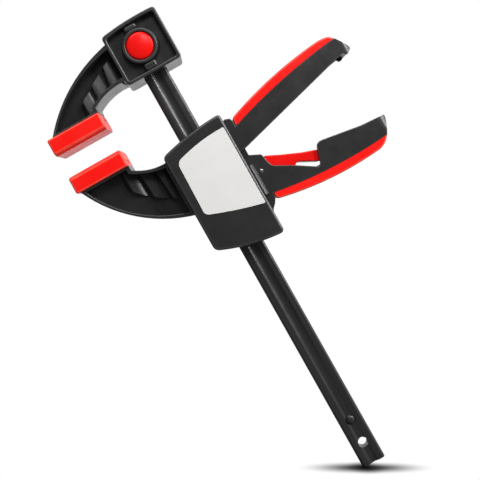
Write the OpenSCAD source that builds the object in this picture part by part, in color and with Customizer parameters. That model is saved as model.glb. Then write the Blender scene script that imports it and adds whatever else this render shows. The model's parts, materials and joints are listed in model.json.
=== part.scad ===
// One-handed bar clamp with quick release.
// Origin: centre of the fixed pad's clamping face. The rail runs along Z with the head at the top,
// the jaws reach towards -X, the handles towards +X and the name plate side faces -Y.

/* [Rail] */
// Width of the rail across its two flanges
rail_w = 17; // [15:0.5:19]
// Thickness of the rail at its flanges
rail_t = 8.5; // [7.5:0.5:9.5]
// Length of the rail
rail_len = 341; // [290:1:420]
// Width of the groove along each face
groove_w = 7; // [6.8:0.1:8]
// Depth of the groove in each face
groove_d = 1.3; // [1.1:0.1:1.6]
// Diameter of the plain hole at the lower end
end_hole_d = 7; // [5:0.1:7.4]
// Height of the end hole above the lower end
end_hole_up = 15.7; // [10:0.1:22]
// Diameter of the stop pin's heads
stop_pin_d = 7; // [5.6:0.1:7.2]
// Height of the stop pin above the lower end
stop_pin_up = 33.6; // [28:0.2:40]

/* [Jaws and pads] */
// Distance from the middle of the pads to the middle of the rail
throat = 65.6; // [60:0.5:80]
// Distance between the two pads
jaw_gap = 16; // [5:0.2:60]
// Depth of the jaw arms, front to back
jaw_d = 30; // [28:0.5:30]
// Thickness of the jaw arms' flanges
jaw_flange = 3; // [2.2:0.1:4]
// Thickness of the jaw arms' web
jaw_web = 6; // [4:0.5:8]
// Length of a pad
pad_len = 39.2; // [36:0.2:42]
// Depth of a pad, front to back
pad_d = 36; // [32:0.5:38]
// Thickness of a pad
pad_t = 12.4; // [10:0.2:13]
// Depth of the chamfers along a pad's clamping face
pad_chamfer = 3; // [1:0.2:4]
// Depth of the pocket that takes the jaw's foot
pad_pocket = 6.5; // [4:0.5:7]
// Wall of a pad round its pocket
pad_wall = 2.6; // [2:0.1:3.2]

/* [Head] */
// Width of the head
head_w = 41.2; // [38:0.2:46]
// Height of the head at its outer side
head_h = 38.6; // [36:0.2:42]
// Height of the head's underside above the pad's face
head_up = 17.8; // [15:0.2:20]
// Depth of the head, front to back
head_d = 31; // [30:0.5:34]
// Width of the rim round the head's trays
head_rim = 2.4; // [1.6:0.1:3]
// Depth of the trays in the head's two faces
head_tray = 6.5; // [5:0.5:7]
// Wall over the rail's top end
head_cap = 3; // [2:0.5:4]
// Distance of the lock pin below the rail's top end
lock_down = 15.7; // [14:0.1:18]

/* [Lock button] */
// Diameter of the button
button_d = 18.8; // [17:0.2:20]
// Travel of the button
button_travel = 4; // [3.6:0.1:4.2]
// Diameter of the lock pin
lock_pin_d = 6; // [5:0.2:6.4]
// Diameter of the lock pin's waist
waist_d = 3.6; // [3:0.1:4]
// Outer diameter of the collar round the button
collar_d = 23.4; // [22.6:0.2:26]

/* [Housing] */
// Width of the covers
case_w = 47; // [45.5:0.5:48]
// Height of the covers at their right edge
case_h = 89.6; // [88.4:0.2:94]
// Distance of the covers' top below the moving pad's face
case_drop = 12.2; // [10:0.2:13]
// Depth over both covers
case_d = 39; // [38.5:0.5:42]
// Wall of the covers
cover_wall = 2.2; // [1.6:0.1:2.3]
// Depth of the frame between the covers
frame_d = 25; // [24:0.5:25]
// Diameter of the cover screws
screw_d = 3; // [2.5:0.1:3.2]
// Distance of the cover screws from the covers' sides
screw_inset = 8.2; // [7.8:0.1:8.6]
// Distance of the upper cover screw below the covers' top
screw_down = 13.5; // [13:0.1:14]
// Distance of the name plate below the covers' top at its right side
label_down = 9; // [7:0.2:10]
// Fall of the name plate's upper edge towards its left side
label_fall = 5.8; // [4:0.2:7]
// Height of the name plate at its right side
label_h = 57.5; // [50:0.5:60]
// Height of the name plate at its left side
label_left_h = 39.2; // [36:0.2:42]

/* [Pump lever] */
// Wall of the pump lever's two cheeks
cheek_t = 2.2; // [1.8:0.1:2.2]
// Length of the pump lever beyond the housing
lever_len = 95; // [85:0.5:105]
// Rise of the pump lever's lower edge, in degrees
lever_rise = 15; // [14:0.5:18]
// Diameter of the pump lever's pivot pin
pivot_pin_d = 5; // [4:0.2:5.2]
// Distance of the pivot from the rail's centre line
drive_arm = 14.1; // [13.6:0.1:14.6]
// Distance of the pivot below the covers' top
pivot_down = 26.6; // [26:0.2:27.4]
// Distance of the lever's stop ledge below the covers' top
ledge_down = 39.9; // [39.5:0.1:41]
// Height of the stop ledge
ledge_h = 22.2; // [18:0.2:23]

/* [Fixed handle] */
// Length of the fixed handle beyond the housing
handle_len = 94; // [85:0.5:105]
// Distance of the handle's root below the covers' top
handle_down = 33.4; // [33:0.1:34]
// Distance of the release lever's bay below the covers' top
bay_down = 63.6; // [63:0.1:65]
// Distance of the soft grip's underside below the covers' top
grip_down = 68.5; // [68:0.1:70]
// Fall of the soft grip's underside from the housing to its far end
grip_fall = 4.7; // [4:0.1:5.4]
// Wall of the fixed handle
handle_wall = 2.5; // [2:0.1:3]
// Thickness of the soft grips over their core
grip_t = 3; // [2:0.1:3.4]

/* [Clamping mechanism] */
// Thickness of the drive plate
drive_plate_t = 4; // [3:0.2:4.4]
// Thickness of the brake plate
brake_plate_t = 3.2; // [2.8:0.1:3.4]
// Tilt of the locked brake plate, in degrees
brake_tilt = 6; // [4:0.5:6]
// Diameter of the release lever's pivot pin
release_pin_d = 2.2; // [2:0.1:3]
// Distance of the release lever's nose from the brake plate's fulcrum
release_reach = 10; // [9.6:0.1:10.4]
// Outer diameter of the drive spring
drive_spring_d = 23.4; // [22.6:0.2:24.4]
// Height of the drive spring at rest
drive_spring_h = 8.4; // [8:0.1:8.6]
// Diameter of the drive spring's wire
drive_wire = 1.2; // [0.8:0.1:1.3]
// Outer diameter of the brake spring
brake_spring_d = 5; // [4.4:0.1:5.4]
// Distance of the brake spring's seat below the brake plate's fulcrum
brake_seat_down = 11.4; // [11:0.1:12]
// Diameter of the brake spring's wire
brake_wire = 0.7; // [0.5:0.1:0.8]

/* [Fits] */
// Clearance round the rail, each side
rail_clear = 0.25; // [0.15:0.05:0.35]
// Radial clearance of pins that turn or slide
pin_clear = 0.05; // [0.02:0.01:0.08]
// Side clearance between parts that pass each other
side_clear = 0.3; // [0.2:0.05:0.4]

/* [Hidden] */
$fn = 64;
black = [0.16, 0.16, 0.17];
red = [0.85, 0.12, 0.07];
steel = [0.62, 0.63, 0.65];
dark_steel = [0.22, 0.22, 0.23];
eps = 0.01;

// ---- outlines ----
// a run of points from p to q along an arc that bulges h to the left of the way
function bow(p, q, h, n = 10) =
    let (d = q - p, l = norm(d), u = d / l, side = [-u.y, u.x], r = (l * l / 4 + h * h) / (2 * abs(h)),
        s = sign(h), c = (p + q) / 2 + side * (h - s * r), a = asin(l / 2 / r))
    [for (i = [0:n]) let (t = -a + 2 * a * i / n) c + side * s * r * cos(t) + u * r * sin(t)];
// corners given as [x, z, setback] are rounded over their setback
function soft(p, n = 5) =
    [for (i = [0:len(p) - 1])
        let (b = [p[i].x, p[i].y], a = p[(i + len(p) - 1) % len(p)], c = p[(i + 1) % len(p)],
            u = [a.x, a.y] - b, v = [c.x, c.y] - b, s = p[i].z)
        each (s == undef || s == 0) ? [b] :
            let (from = b + u / norm(u) * s, to = b + v / norm(v) * s)
            [for (k = [0:n]) let (t = k / n) (1 - t) ^ 2 * from + 2 * t * (1 - t) * b + t ^ 2 * to]];
function reversed(p) = [for (i = [len(p) - 1:-1:0]) p[i]];

// an outline in X and Z made a slab from y0 to y1
module slab(p, y0, y1) {
    translate([0, y1, 0])
        rotate([90, 0, 0])
            linear_extrude(y1 - y0)
                polygon(p);
}
// a round bar along Y
module bar_y(x, z, r, y0, y1) {
    translate([x, y1, z])
        rotate([90, 0, 0])
            cylinder(r = r, h = y1 - y0);
}
// children on the rear side, and mirrored on the front side
module both_faces() {
    children();
    mirror([0, 1, 0])
        children();
}
module block(x0, x1, y0, y1, z0, z1) {
    translate([x0, y0, z0])
        cube([x1 - x0, y1 - y0, z1 - z0]);
}
// a coil spring along Z from 0 to h, outer diameter d
module coil(d, wire, h, turns, sides = 8, steps = 14) {
    r = (d - wire) / 2;
    rings = turns * steps;
    pts = [for (i = [0:rings]) let (a = 360 * i / steps, z = wire / 2 + (h - wire) * i / rings)
        for (k = [0:sides - 1]) let (b = 360 * k / sides)
            [(r + wire / 2 * cos(b)) * cos(a), (r + wire / 2 * cos(b)) * sin(a), z + wire / 2 * sin(b)]];
    skin = [for (i = [0:rings - 1]) for (k = [0:sides - 1])
        let (m = (k + 1) % sides)
            [i * sides + k, (i + 1) * sides + k, (i + 1) * sides + m, i * sides + m]];
    ends = [[for (k = [0:sides - 1]) k], [for (k = [sides - 1:-1:0]) rings * sides + k]];
    polyhedron(points = pts, faces = concat(skin, ends), convexity = 10);
}

// ---- derived places ----
// rail and head
rail_x = throat;
rail_l = rail_x - rail_w / 2;
rail_r = rail_x + rail_w / 2;
web_y = rail_t / 2 - groove_d;
groove_flare = 0.9;
groove_foot = 0.5;
lock_web_y = 1.65;
head_shift = 0.4;
head_l = rail_x + head_shift - head_w / 2;
head_r = rail_x + head_shift + head_w / 2;
head_top = head_up + head_h;
head_fall = 1.8;
head_y = head_d / 2;
rail_top = head_top - head_cap;
rail_foot = rail_top - rail_len;
lock_z = rail_top - lock_down;
stop_z = rail_foot + stop_pin_up;
stop_shank_d = 3;
floor_y = head_y - head_tray;
well_y = rail_t / 2 + rail_clear + 0.7;
button_front = head_y + 0.6;
button_back = well_y + button_travel + 0.3;
button_wall = 1.8;
boss_y = floor_y + 1.8;
clip_t = 0.8;
// jaws and pads
jaw_y = jaw_d / 2;
pad_y = pad_d / 2;
foot_x = pad_len / 2 - pad_wall;
foot_y = jaw_y - 2.1;
pad_crown = 1.6;
arm_r = 19.8;
arm_step = 3.6;
rib_y = jaw_y + 1.5;
// housing: places are given below the moving pad's face
case_l = rail_x - case_w / 2;
case_r = rail_x + case_w / 2;
case_y = case_d / 2;
case_top = -case_drop;
case_foot = case_top - case_h;
case_top_fall = 7.1;
case_foot_rise = 11.6;
frame_y = frame_d / 2;
frame_r = case_r + 4.1;
lap = 1.2;
cavity_l = case_l + 5.9;
cavity_top = case_top - 9.5;
cavity_foot = case_foot + 13.6;
wall_t = 3.2;
post_r = 3.4;
boss_r = 4.6;
screw_head_r = 2.8;
// levers and mechanism
pivot = [rail_x - drive_arm, case_top - pivot_down];
pivot_eye_r = 5.4;
cheek_out = frame_y + side_clear + cheek_t;
cheek_in = frame_y + side_clear;
nose_r = 2.5;
nose = [rail_x, pivot.y - 3];
drive_top = nose.y - nose_r - 0.05;
shelf_top = drive_top - drive_plate_t - drive_spring_h;
shelf_t = 2.5;
fulcrum = [rail_r + 2.9, shelf_top - shelf_t - 3.5];
fulcrum_r = 1.5;
release_pin = [frame_r + 2.5, fulcrum.y + 3.9];
release_y = frame_y - handle_wall - side_clear - 0.1;
hub_r = 4.6;
release_nose_r = 1.5;
grip_side = 1.2;
grip_foot = case_top - grip_down;
grip_proud = 0.2;
ledge_top = case_top - ledge_down;
ledge_foot = ledge_top - ledge_h;
brake_seat = fulcrum.y - brake_seat_down;
seat_t = 2.5;
window_top = case_top - handle_down - 2.8;
window_foot = case_top - bay_down + 0.6;
screw_places = [[case_l + screw_inset, case_top - screw_down],
    [case_l + screw_inset, (brake_seat - seat_t + case_foot + case_foot_rise) / 2],
    [case_r - screw_inset, case_foot + screw_inset]];
brake_window = (rail_w + 0.1 + brake_plate_t * sin(brake_tilt)) / cos(brake_tilt);

// ---- pieces fixed to the rail ----
// half of the rail's section, from the left flange's edge to the right one's; dy turns it over
function rail_face(s) =
    let (y = s * rail_t / 2, w = s * web_y, g = groove_w / 2)
    [[-rail_w / 2, y, 0.9], [-g - groove_flare, y, 0.7], [-g + groove_foot, w, 1], [g - groove_foot, w, 1],
        [g + groove_flare, y, 0.7], [rail_w / 2, y, 0.9]];
module rail() {
    color(dark_steel)
        difference() {
            translate([rail_x, 0, rail_foot])
                linear_extrude(rail_len)
                    polygon(soft(concat(rail_face(-1), reversed(rail_face(1))), 3));
            bar_y(rail_x, rail_foot + end_hole_up, end_hole_d / 2, -rail_t, rail_t);
            bar_y(rail_x, stop_z, stop_shank_d / 2, -rail_t, rail_t);
            bar_y(rail_x, lock_z, lock_pin_d / 2 + 3 * pin_clear, -rail_t, rail_t);
            block(rail_x - waist_d / 2 - side_clear, rail_x + waist_d / 2 + side_clear, -rail_t, rail_t,
                lock_z, rail_top + 1);
            both_faces() {
                // seat of the stop pin's head, and the web thinned for the lock pin
                bar_y(rail_x, stop_z, stop_pin_d / 2 + pin_clear, web_y, rail_t);
                bar_y(rail_x, lock_z, groove_w / 2, lock_web_y, rail_t);
                block(rail_x - groove_w / 2, rail_x + groove_w / 2, lock_web_y, rail_t,
                    lock_z, rail_top + 1);
            }
        }
}
module rail_stop_pin() {
    color(dark_steel)
        union() {
            bar_y(rail_x, stop_z, stop_shank_d / 2, -web_y - eps, web_y + eps);
            both_faces()
                bar_y(rail_x, stop_z, stop_pin_d / 2, web_y, rail_t / 2 - 0.1);
        }
}
// outline of the head, drawn in by a wall
function head_outline(wall) =
    let (l = head_l + wall, r = head_r - wall, foot = head_up + wall, left_top = head_top - head_fall - wall,
        top = bow([l, left_top], [r, head_top - wall], 1.2, 8), round = 2.6 - wall / 3)
    soft(concat([[r, foot, round], [l, foot, round], [l, left_top, round]],
        [for (i = [1:7]) top[i]], [[r, head_top - wall, round]]));
// outline of a jaw arm that stands on a pad's back at height 0, from x = left to x = root
function arm_outline(left, root, outer, inner, bulge, rim, base) =
    concat(bow([left + 1.05 * rim, base], [root, outer - 1.03 * rim], bulge, 14),
        bow([root, inner + rim], [arm_r - rim, arm_step + 0.4 * rim], -2.2, 8),
        [[arm_r - rim, base]]);
// a jaw arm with flanges all round, a web and three scooped facets on each side of it;
// the facets' outer edge rises from height low to height high
module jaw_arm(left, root, outer, inner, bulge, low, high, facet_bulge) {
    facet_l = 10.3;
    facet_step = (root - facet_l) / 3;
    facet_h = 4.2;
    facet_foot = 0.6;
    foot_in = 0.1;
    difference() {
        slab(arm_outline(left, root, outer, inner, bulge, 0, 0), -jaw_y, jaw_y);
        both_faces()
            slab(arm_outline(left, root + 1, outer, inner, bulge, jaw_flange, 1.5),
                jaw_web / 2, jaw_y + 1);
    }
    both_faces()
        intersection() {
            slab(arm_outline(left, root, outer, inner, bulge, jaw_flange - 0.1, 1.4), 0, jaw_y);
            slab(concat(bow([facet_l, low], [root + 1, high], facet_bulge, 8),
                [[root + 1, 0], [facet_l, 0]]), 0, jaw_y);
            linear_extrude(outer)
                for (i = [0:2])
                    let (x = facet_l + i * facet_step)
                        polygon(concat(bow([x, jaw_web / 2 + facet_h],
                            [x + facet_step, jaw_web / 2 + facet_foot], 1, 4),
                            [[x + facet_step, jaw_web / 2 - 1], [x, jaw_web / 2 - 1]]));
        }
    block(-foot_x + foot_in, foot_x - foot_in, -foot_y + foot_in, foot_y - foot_in,
        -pad_pocket + foot_in, 0.5);
}
module fixed_jaw_head() {
    color(black)
        difference() {
            union() {
                difference() {
                    slab(head_outline(0), -head_y, head_y);
                    both_faces()
                        slab(head_outline(head_rim), floor_y, head_y + 1);
                }
                // collar, spine and rear boss
                translate([rail_x, -floor_y + eps, lock_z])
                    rotate([90, 0, 0])
                        cylinder(r1 = collar_d / 2 + 1.4, r2 = collar_d / 2, h = head_tray - 0.3);
                both_faces()
                    block(rail_x - 4.4, rail_x + 4.4, floor_y - 1, floor_y + 2.2,
                        head_up + 1, head_top - head_rim);
                bar_y(rail_x, lock_z, 7, floor_y - 1, boss_y);
                translate([0, 0, pad_t])
                    jaw_arm(-15.8, head_l + 0.5, 37, 9.5, 6.3, 10.5, 31.5, 0.8);
            }
            // button well, rear spring seat and pin bore
            bar_y(rail_x, lock_z, button_d / 2 + side_clear, -head_y - 1, -well_y);
            bar_y(rail_x, lock_z, lock_pin_d / 2 + pin_clear, -head_y, head_y);
            bar_y(rail_x, lock_z, lock_pin_d / 2 + 3, boss_y, head_y);
            block(rail_l - rail_clear, rail_r + rail_clear,
                -rail_t / 2 - rail_clear, rail_t / 2 + rail_clear, head_up - 1, rail_top + 0.2);
        }
}
// a pad whose clamping face is at height 0 and whose pocket opens upwards
module pad() {
    difference() {
        slab(soft([[-pad_len / 2, 0, 1.6], [pad_len / 2, 0, 1.6], [pad_len / 2, pad_t, 1.2],
            [-pad_len / 2, pad_t, 1.2]], 4), -pad_y, pad_y);
        // chamfers along the clamping face
        both_faces()
            translate([-pad_len, 0, 0])
                rotate([90, 0, 90])
                    linear_extrude(2 * pad_len)
                        polygon([[pad_y - pad_chamfer, 0], [pad_y - pad_chamfer, -1],
                            [pad_y + 1, -1], [pad_y + 1, pad_crown], [pad_y, pad_crown]]);
        block(-foot_x, foot_x, -foot_y, foot_y, pad_t - pad_pocket, pad_t + 1);
        // slot that the jaw's catch snaps into
        block(foot_x - 1, pad_len / 2 + 1, -3, 3, pad_t - 5.5, pad_t - 2.5);
    }
}
module fixed_pad() {
    color(red)
        pad();
}
module lock_button() {
    r = button_d / 2;
    dome_r = 40;
    color(red)
        difference() {
            intersection() {
                bar_y(rail_x, lock_z, r, -button_front - 2, -button_back);
                translate([rail_x, -button_front + dome_r, lock_z])
                    sphere(dome_r, $fn = 96);
            }
            difference() {
                bar_y(rail_x, lock_z, r - button_wall, -button_front + 3, -button_back + 1);
                bar_y(rail_x, lock_z, lock_pin_d / 2 + 1.6, -button_front, -button_back + 2);
            }
            bar_y(rail_x, lock_z, lock_pin_d / 2, -button_front + 3, -button_back + 2);
        }
}
module lock_pin() {
    r = lock_pin_d / 2;
    groove_y = boss_y + eps;
    color(steel)
        difference() {
            union() {
                bar_y(rail_x, lock_z, r, -button_front + 3, -lock_web_y - 0.4 - button_travel - 0.4);
                bar_y(rail_x, lock_z, waist_d / 2, -button_front + 4, lock_web_y);
                bar_y(rail_x, lock_z, r, -lock_web_y - 0.4, boss_y + clip_t + 1.2);
            }
            difference() {
                bar_y(rail_x, lock_z, r + 1, groove_y, groove_y + clip_t);
                bar_y(rail_x, lock_z, r - 0.7, groove_y - 1, groove_y + clip_t + 1);
            }
        }
}
module lock_pin_clip() {
    r = lock_pin_d / 2;
    groove_y = boss_y + eps;
    color(steel)
        difference() {
            bar_y(rail_x, lock_z, r + 1.8, groove_y, groove_y + clip_t);
            bar_y(rail_x, lock_z, r - 0.7, -head_y, head_y);
            block(rail_x - r + 1.2, rail_x + r - 1.2, 0, head_y, lock_z - 2 * r, lock_z);
        }
}
module button_spring() {
    top = button_front - 3;
    color(steel)
        translate([rail_x, -well_y - eps, lock_z])
            rotate([90, 0, 0])
                coil(button_d - 2 * button_wall - 0.6, 0.8, top - well_y - 2 * eps, 4);
}

// ---- pieces that slide along the rail ----
module slider() {
    translate([0, 0, -jaw_gap])
        children();
}
// outline of the covers, drawn in by a wall
function case_outline(wall) =
    let (l = case_l + wall, r = case_r - wall, tl = case_top - case_top_fall - wall, tr = case_top - wall,
        bl = case_foot + case_foot_rise + wall, br = case_foot + wall, n = 9,
        top = bow([l, tl], [r, tr], 1.6, n), foot = bow([r, br], [l, bl], 2.3, n),
        round = 3.4 - wall / 2, sharp = 2.7 - wall / 3)
    soft(concat([[l, tl, round]], [for (i = [1:n - 1]) top[i]], [[r, tr, sharp], [r, br, round]],
        [for (i = [1:n - 1]) foot[i]], [[l, bl, round]]));
// lower edges of the fixed handle: its soft grip's outside, its core and its channel's floor
function handle_edge(up) = bow([frame_r + 2.4, grip_foot + up],
    [frame_r + handle_len - 14, grip_foot - grip_fall + up], -3.3, 12);
function handle_seam() = bow([frame_r + handle_len - 6.3, grip_foot + 1.4],
    [frame_r + 2.1, grip_foot + 4.8], 2.8, 12);
function handle_outline() =
    let (x = frame_r, e = frame_r + handle_len, top = case_top - handle_down, bay = case_top - bay_down,
        foot = grip_foot)
    soft(concat([[x - 4, top + 0.2], [x, top, 0.6], [x + 7.9, top - 3.7, 1.2], [x + 9, top - 10.1],
        [x + 10.6, top - 13.9, 2], [x + 23.8, bay + 9.1], [x + 38, bay, 1.6], [x + 40, bay + 3.1],
        [x + 42, bay + 10.3], [x + 43.4, bay + 14.2, 1.7], [x + 47, bay + 15.2, 1.7], [e - 17, bay + 10.4],
        [e, bay + 9.3, 1], [e - 3.8, foot + 5.5], [e - 6.2, foot + 1.2]],
        reversed(handle_edge(grip_t)),
        [[x + 1, foot + 0.1, 1], [x - 3.4, foot - 4.9, 2], [x - 4.8, foot - 9.5]]));
// a plan outline that rounds a handle's end, at half width y
module plan_round(x0, x1, y, round, z0, z1) {
    translate([0, 0, z0])
        linear_extrude(z1 - z0)
            polygon(soft([[x0, -y], [x1, -y, round], [x1, y, round], [x0, y]], 6));
}
module fixed_handle() {
    t = case_top;
    e = frame_r + handle_len;
    difference() {
        intersection() {
            slab(handle_outline(), -frame_y - 1, frame_y + 1);
            plan_round(frame_r - 10, e, frame_y, 7, t - 90, t - 30);
        }
        // channel between the two walls, open to the inside of the housing
        intersection() {
            slab(concat([[frame_r - wall_t - 1, window_top], [frame_r + 7.6, window_top - 3.4],
                [frame_r + 7.9, t - 30], [e + 10, t - 30], [e - 2.6, grip_foot + 12.5],
                [e - 6.6, grip_foot + 4], [e - 9, grip_foot + 1.5]],
                reversed(handle_edge(grip_t + handle_wall)),
                [[frame_r - wall_t - 1, window_foot]]), -frame_y, frame_y);
            plan_round(frame_r - 12, e - 2.6, frame_y - handle_wall, 5, t - 95, t - 25);
        }
        // the rear wall is cut back where the release lever passes
        slab([[frame_r + 36, t - bay_down + 0.4], [frame_r + 43.8, t - bay_down + 0.4],
            [frame_r + 47, t - bay_down + 9], [frame_r + 50.5, t - bay_down + 20],
            [frame_r + 36, t - bay_down + 20]], frame_y - handle_wall - 0.2, frame_y + 1);
        // seat of the soft grip on both sides
        both_faces()
            slab(concat(handle_seam(), [[frame_r + 2.1, grip_foot - 12], [e, grip_foot - 12],
                [e, grip_foot + 1.5]]), frame_y - grip_side, frame_y + 1);
    }
}
module housing_frame() {
    t = case_top;
    color(black)
        slider() {
            difference() {
                union() {
                    difference() {
                        union() {
                            slab(case_outline(lap), -frame_y, frame_y);
                            slab(soft([[frame_r - 9, t - 4], [frame_r - 2, t - 8.5, 2], [frame_r, t - 12],
                                [frame_r, grip_foot - 1.5], [frame_r - 4.5, grip_foot - 6],
                                [frame_r - 9, grip_foot - 9.5]]),
                                -frame_y, frame_y);
                        }
                        slab([[cavity_l, cavity_top], [frame_r - wall_t, cavity_top],
                            [frame_r - wall_t, grip_foot + 0.5], [case_r - 4.6, grip_foot - 3.5],
                            [case_r - 4.6, cavity_foot],
                            [cavity_l, cavity_foot]], -frame_y - 1, frame_y + 1);
                    }
                    fixed_handle();
                    // spring shelf, brake fulcrum, brake spring ledge, pivot boss and screw post
                    block(cavity_l - 1, frame_r - wall_t + 1, -frame_y, frame_y,
                        shelf_top - shelf_t, shelf_top);
                    bar_y(fulcrum.x, fulcrum.y + fulcrum_r + 0.05, fulcrum_r, -frame_y, frame_y);
                    block(fulcrum.x - fulcrum_r, fulcrum.x + fulcrum_r, -frame_y, frame_y,
                        fulcrum.y + fulcrum_r + 0.05, shelf_top);
                    block(cavity_l - 1, rail_l - 0.6, -frame_y, frame_y, brake_seat - seat_t, brake_seat);
                    bar_y(pivot.x, pivot.y, pivot_pin_d / 2 + 2.4, -frame_y, frame_y);
                    block(cavity_l - 1, pivot.x, -frame_y, frame_y, pivot.y - 4.9, pivot.y + 4.9);
                    for (i = [0, 1])
                        bar_y(screw_places[i].x, screw_places[i].y, post_r, -frame_y, frame_y);
                    // stop ledge under the pump lever
                    both_faces()
                        translate([0, 0, ledge_foot])
                            linear_extrude(ledge_top - ledge_foot)
                                polygon([[case_r + side_clear, frame_y - 1], [frame_r - 0.6, frame_y - 1],
                                    [frame_r - 0.6, frame_y + 2], [frame_r - 2.6, frame_y + 4],
                                    [case_r + side_clear, frame_y + 4]]);
                    // jaw arm: full depth up to the covers, as deep as the frame behind them
                    difference() {
                        translate([0, 0, -pad_t])
                            mirror([0, 0, 1])
                                union() {
                                    jaw_arm(-17.2, case_l + lap + 0.6, 51.2, 10.5, 8.8, 13, 38.2, 3);
                                    // rib along the covers
                                    intersection() {
                                        slab(arm_outline(-17.2, case_l + lap + 0.6, 51.2, 10.5, 8.8, 0, 0),
                                            -rib_y, rib_y);
                                        block(case_l - 1.4, case_l + lap, -rib_y, rib_y, 0, case_h);
                                    }
                                }
                        both_faces()
                            block(case_l - 0.05, case_l + 10, frame_y, rib_y + 1, case_foot, 0);
                    }
                }
                // rail passage and the release lever's window
                block(rail_l - rail_clear, rail_r + rail_clear,
                    -rail_t / 2 - rail_clear, rail_t / 2 + rail_clear, case_foot - 9, 0);
                block(frame_r - wall_t - 2, frame_r + 1, -frame_y + handle_wall, frame_y - handle_wall,
                    window_foot, window_top);
                bar_y(pivot.x, pivot.y, pivot_pin_d / 2, -frame_y - 1, frame_y + 1);
                bar_y(release_pin.x, release_pin.y, release_pin_d / 2, -frame_y - 1, frame_y + 1);
                for (p = screw_places)
                    bar_y(p.x, p.y, screw_d / 2 + 0.2, -frame_y - 1, frame_y + 1);
            }
            // guide keys that run in the rail's grooves
            for (z = [cavity_top, cavity_foot - 8.5])
                both_faces()
                    block(rail_x - groove_w / 2 + groove_foot + 3 * rail_clear,
                        rail_x + groove_w / 2 - groove_foot - 3 * rail_clear,
                        web_y + rail_clear, rail_t / 2 + rail_clear + 0.2, z, z + 6.5);
        }
}
// the rear cover's shell; its bosses reach the frame
module cover_shell() {
    difference() {
        union() {
            difference() {
                slab(case_outline(0), frame_y, case_y);
                slab(case_outline(cover_wall), frame_y - 1, case_y - cover_wall);
            }
            for (p = screw_places)
                bar_y(p.x, p.y, boss_r, frame_y, case_y - cover_wall + eps);
        }
        // way out for the pump lever's cheek
        block(case_r - cover_wall - 2, case_r + 1, frame_y - 1, cheek_out + grip_proud + side_clear,
            ledge_top - side_clear, case_top - 3);
        slab([[case_r - 8, case_top - 3], [case_r + 1, case_top - 1], [case_r + 1, case_top - 12],
            [case_r - 8, case_top - 12]], frame_y - 1, cheek_out + side_clear);
    }
}
module front_cover() {
    color(black)
        slider()
            difference() {
                mirror([0, 1, 0])
                    cover_shell();
                for (p = screw_places)
                    bar_y(p.x, p.y, screw_d / 2, -case_y + cover_wall, -frame_y + 1);
            }
}
module rear_cover() {
    color(black)
        slider()
            difference() {
                cover_shell();
                for (p = screw_places) {
                    bar_y(p.x, p.y, screw_d / 2 + 0.2, frame_y - 1, case_y + 1);
                    bar_y(p.x, p.y, screw_head_r + 0.4, case_y - 2.6, case_y + 1);
                }
            }
}
module cover_screws() {
    seat = case_y - 2.6;
    color(steel)
        slider()
            for (p = screw_places)
                difference() {
                    union() {
                        bar_y(p.x, p.y, screw_d / 2, -case_y + cover_wall + 0.6, seat + eps);
                        bar_y(p.x, p.y, screw_head_r, seat, seat + 2.2);
                    }
                    for (a = [0, 90])
                        translate([p.x, seat + 2.2, p.y])
                            rotate([0, a, 0])
                                cube([3.4, 2.4, 0.8], center = true);
                }
}
function label_outline() =
    let (l = case_l + 6.9, r = case_r - 1.9, n = 8, right = case_top - label_down, left = right - label_fall,
        top = bow([l, left], [r, right], 1.6, n),
        foot = bow([r, right - label_h], [l - 0.9, left - label_left_h], 0.8, n))
    soft(concat([[l, left, 3.4]], [for (i = [1:n - 1]) top[i]], [[r, right, 1.2],
        [r, right - label_h, 1.2]], [for (i = [1:n - 1]) foot[i]], [[l - 0.9, left - label_left_h, 2.4]]));
module label_plate() {
    color([0.86, 0.86, 0.85])
        slider()
            slab(label_outline(), -case_y - 0.25, -case_y);
}
module moving_pad() {
    color(red)
        slider()
            mirror([0, 0, 1])
                pad();
}
module handle_grip() {
    e = frame_r + handle_len;
    color(red)
        slider()
            difference() {
                slab(soft(concat([[frame_r + 2.4, grip_foot, 1.8]], [for (i = [1:12]) handle_edge(0)[i]],
                    [[e - 9, grip_foot - 2.5, 3], [e - 5.7, grip_foot + 1.7]],
                    [for (i = [0:11]) handle_seam()[i]], [[frame_r + 2.1, grip_foot + 4.8, 1.8]]), 3),
                    -frame_y - grip_proud, frame_y + grip_proud);
                slab(concat([[frame_r, grip_foot + 8.5], [e + 9, grip_foot + 8.5],
                    [e - 6.2, grip_foot + 1.2]], reversed(handle_edge(grip_t)), [[frame_r, grip_foot + 3]]),
                    -frame_y + grip_side, frame_y - grip_side);
            }
}

// ---- pump lever, its pin and the drive ----
// a point of the pump lever: along its lower edge from the housing's side, and square to it
lever_root = [frame_r, case_top - 28.1];
function lever_at(along, up) =
    lever_root + along * [cos(lever_rise), sin(lever_rise)] + up * [-sin(lever_rise), cos(lever_rise)];
// the lever's back line at a depth below the soft grip's top, and the seam where the grip's side ends
function lever_back(down) = bow(lever_at(7.7, 20.3 - down), lever_at(lever_len - 9.4, 17 - down), 2.7, 12);
function lever_seam() = bow(lever_at(lever_len - 1.4, 10.9), lever_at(5.9, 14.8), -2.4, 12);
function lever_outline() =
    concat([pivot + [-1, pivot_eye_r], pivot + [10, 10], [case_r + 1.5, case_top - 4.7],
        [frame_r + 0.6, case_top - 5.8], [frame_r + 1.9, case_top - 8.4]],
        lever_back(grip_t), [lever_at(lever_len - 3.4, 12.6), lever_at(lever_len - 0.9, 10.4),
        lever_at(lever_len + 3, -1.3), lever_at(lever_len - 1.6, -3.1), lever_at(lever_len - 3.2, -2.6),
        lever_at(lever_len - 4, -0.5), lever_at(lever_len - 10.4, 0),
        lever_at(0, 0), [case_r - 4, lever_root.y - 1.8], pivot + [2, -pivot_eye_r]]);
web_t = 2.6;
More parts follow.
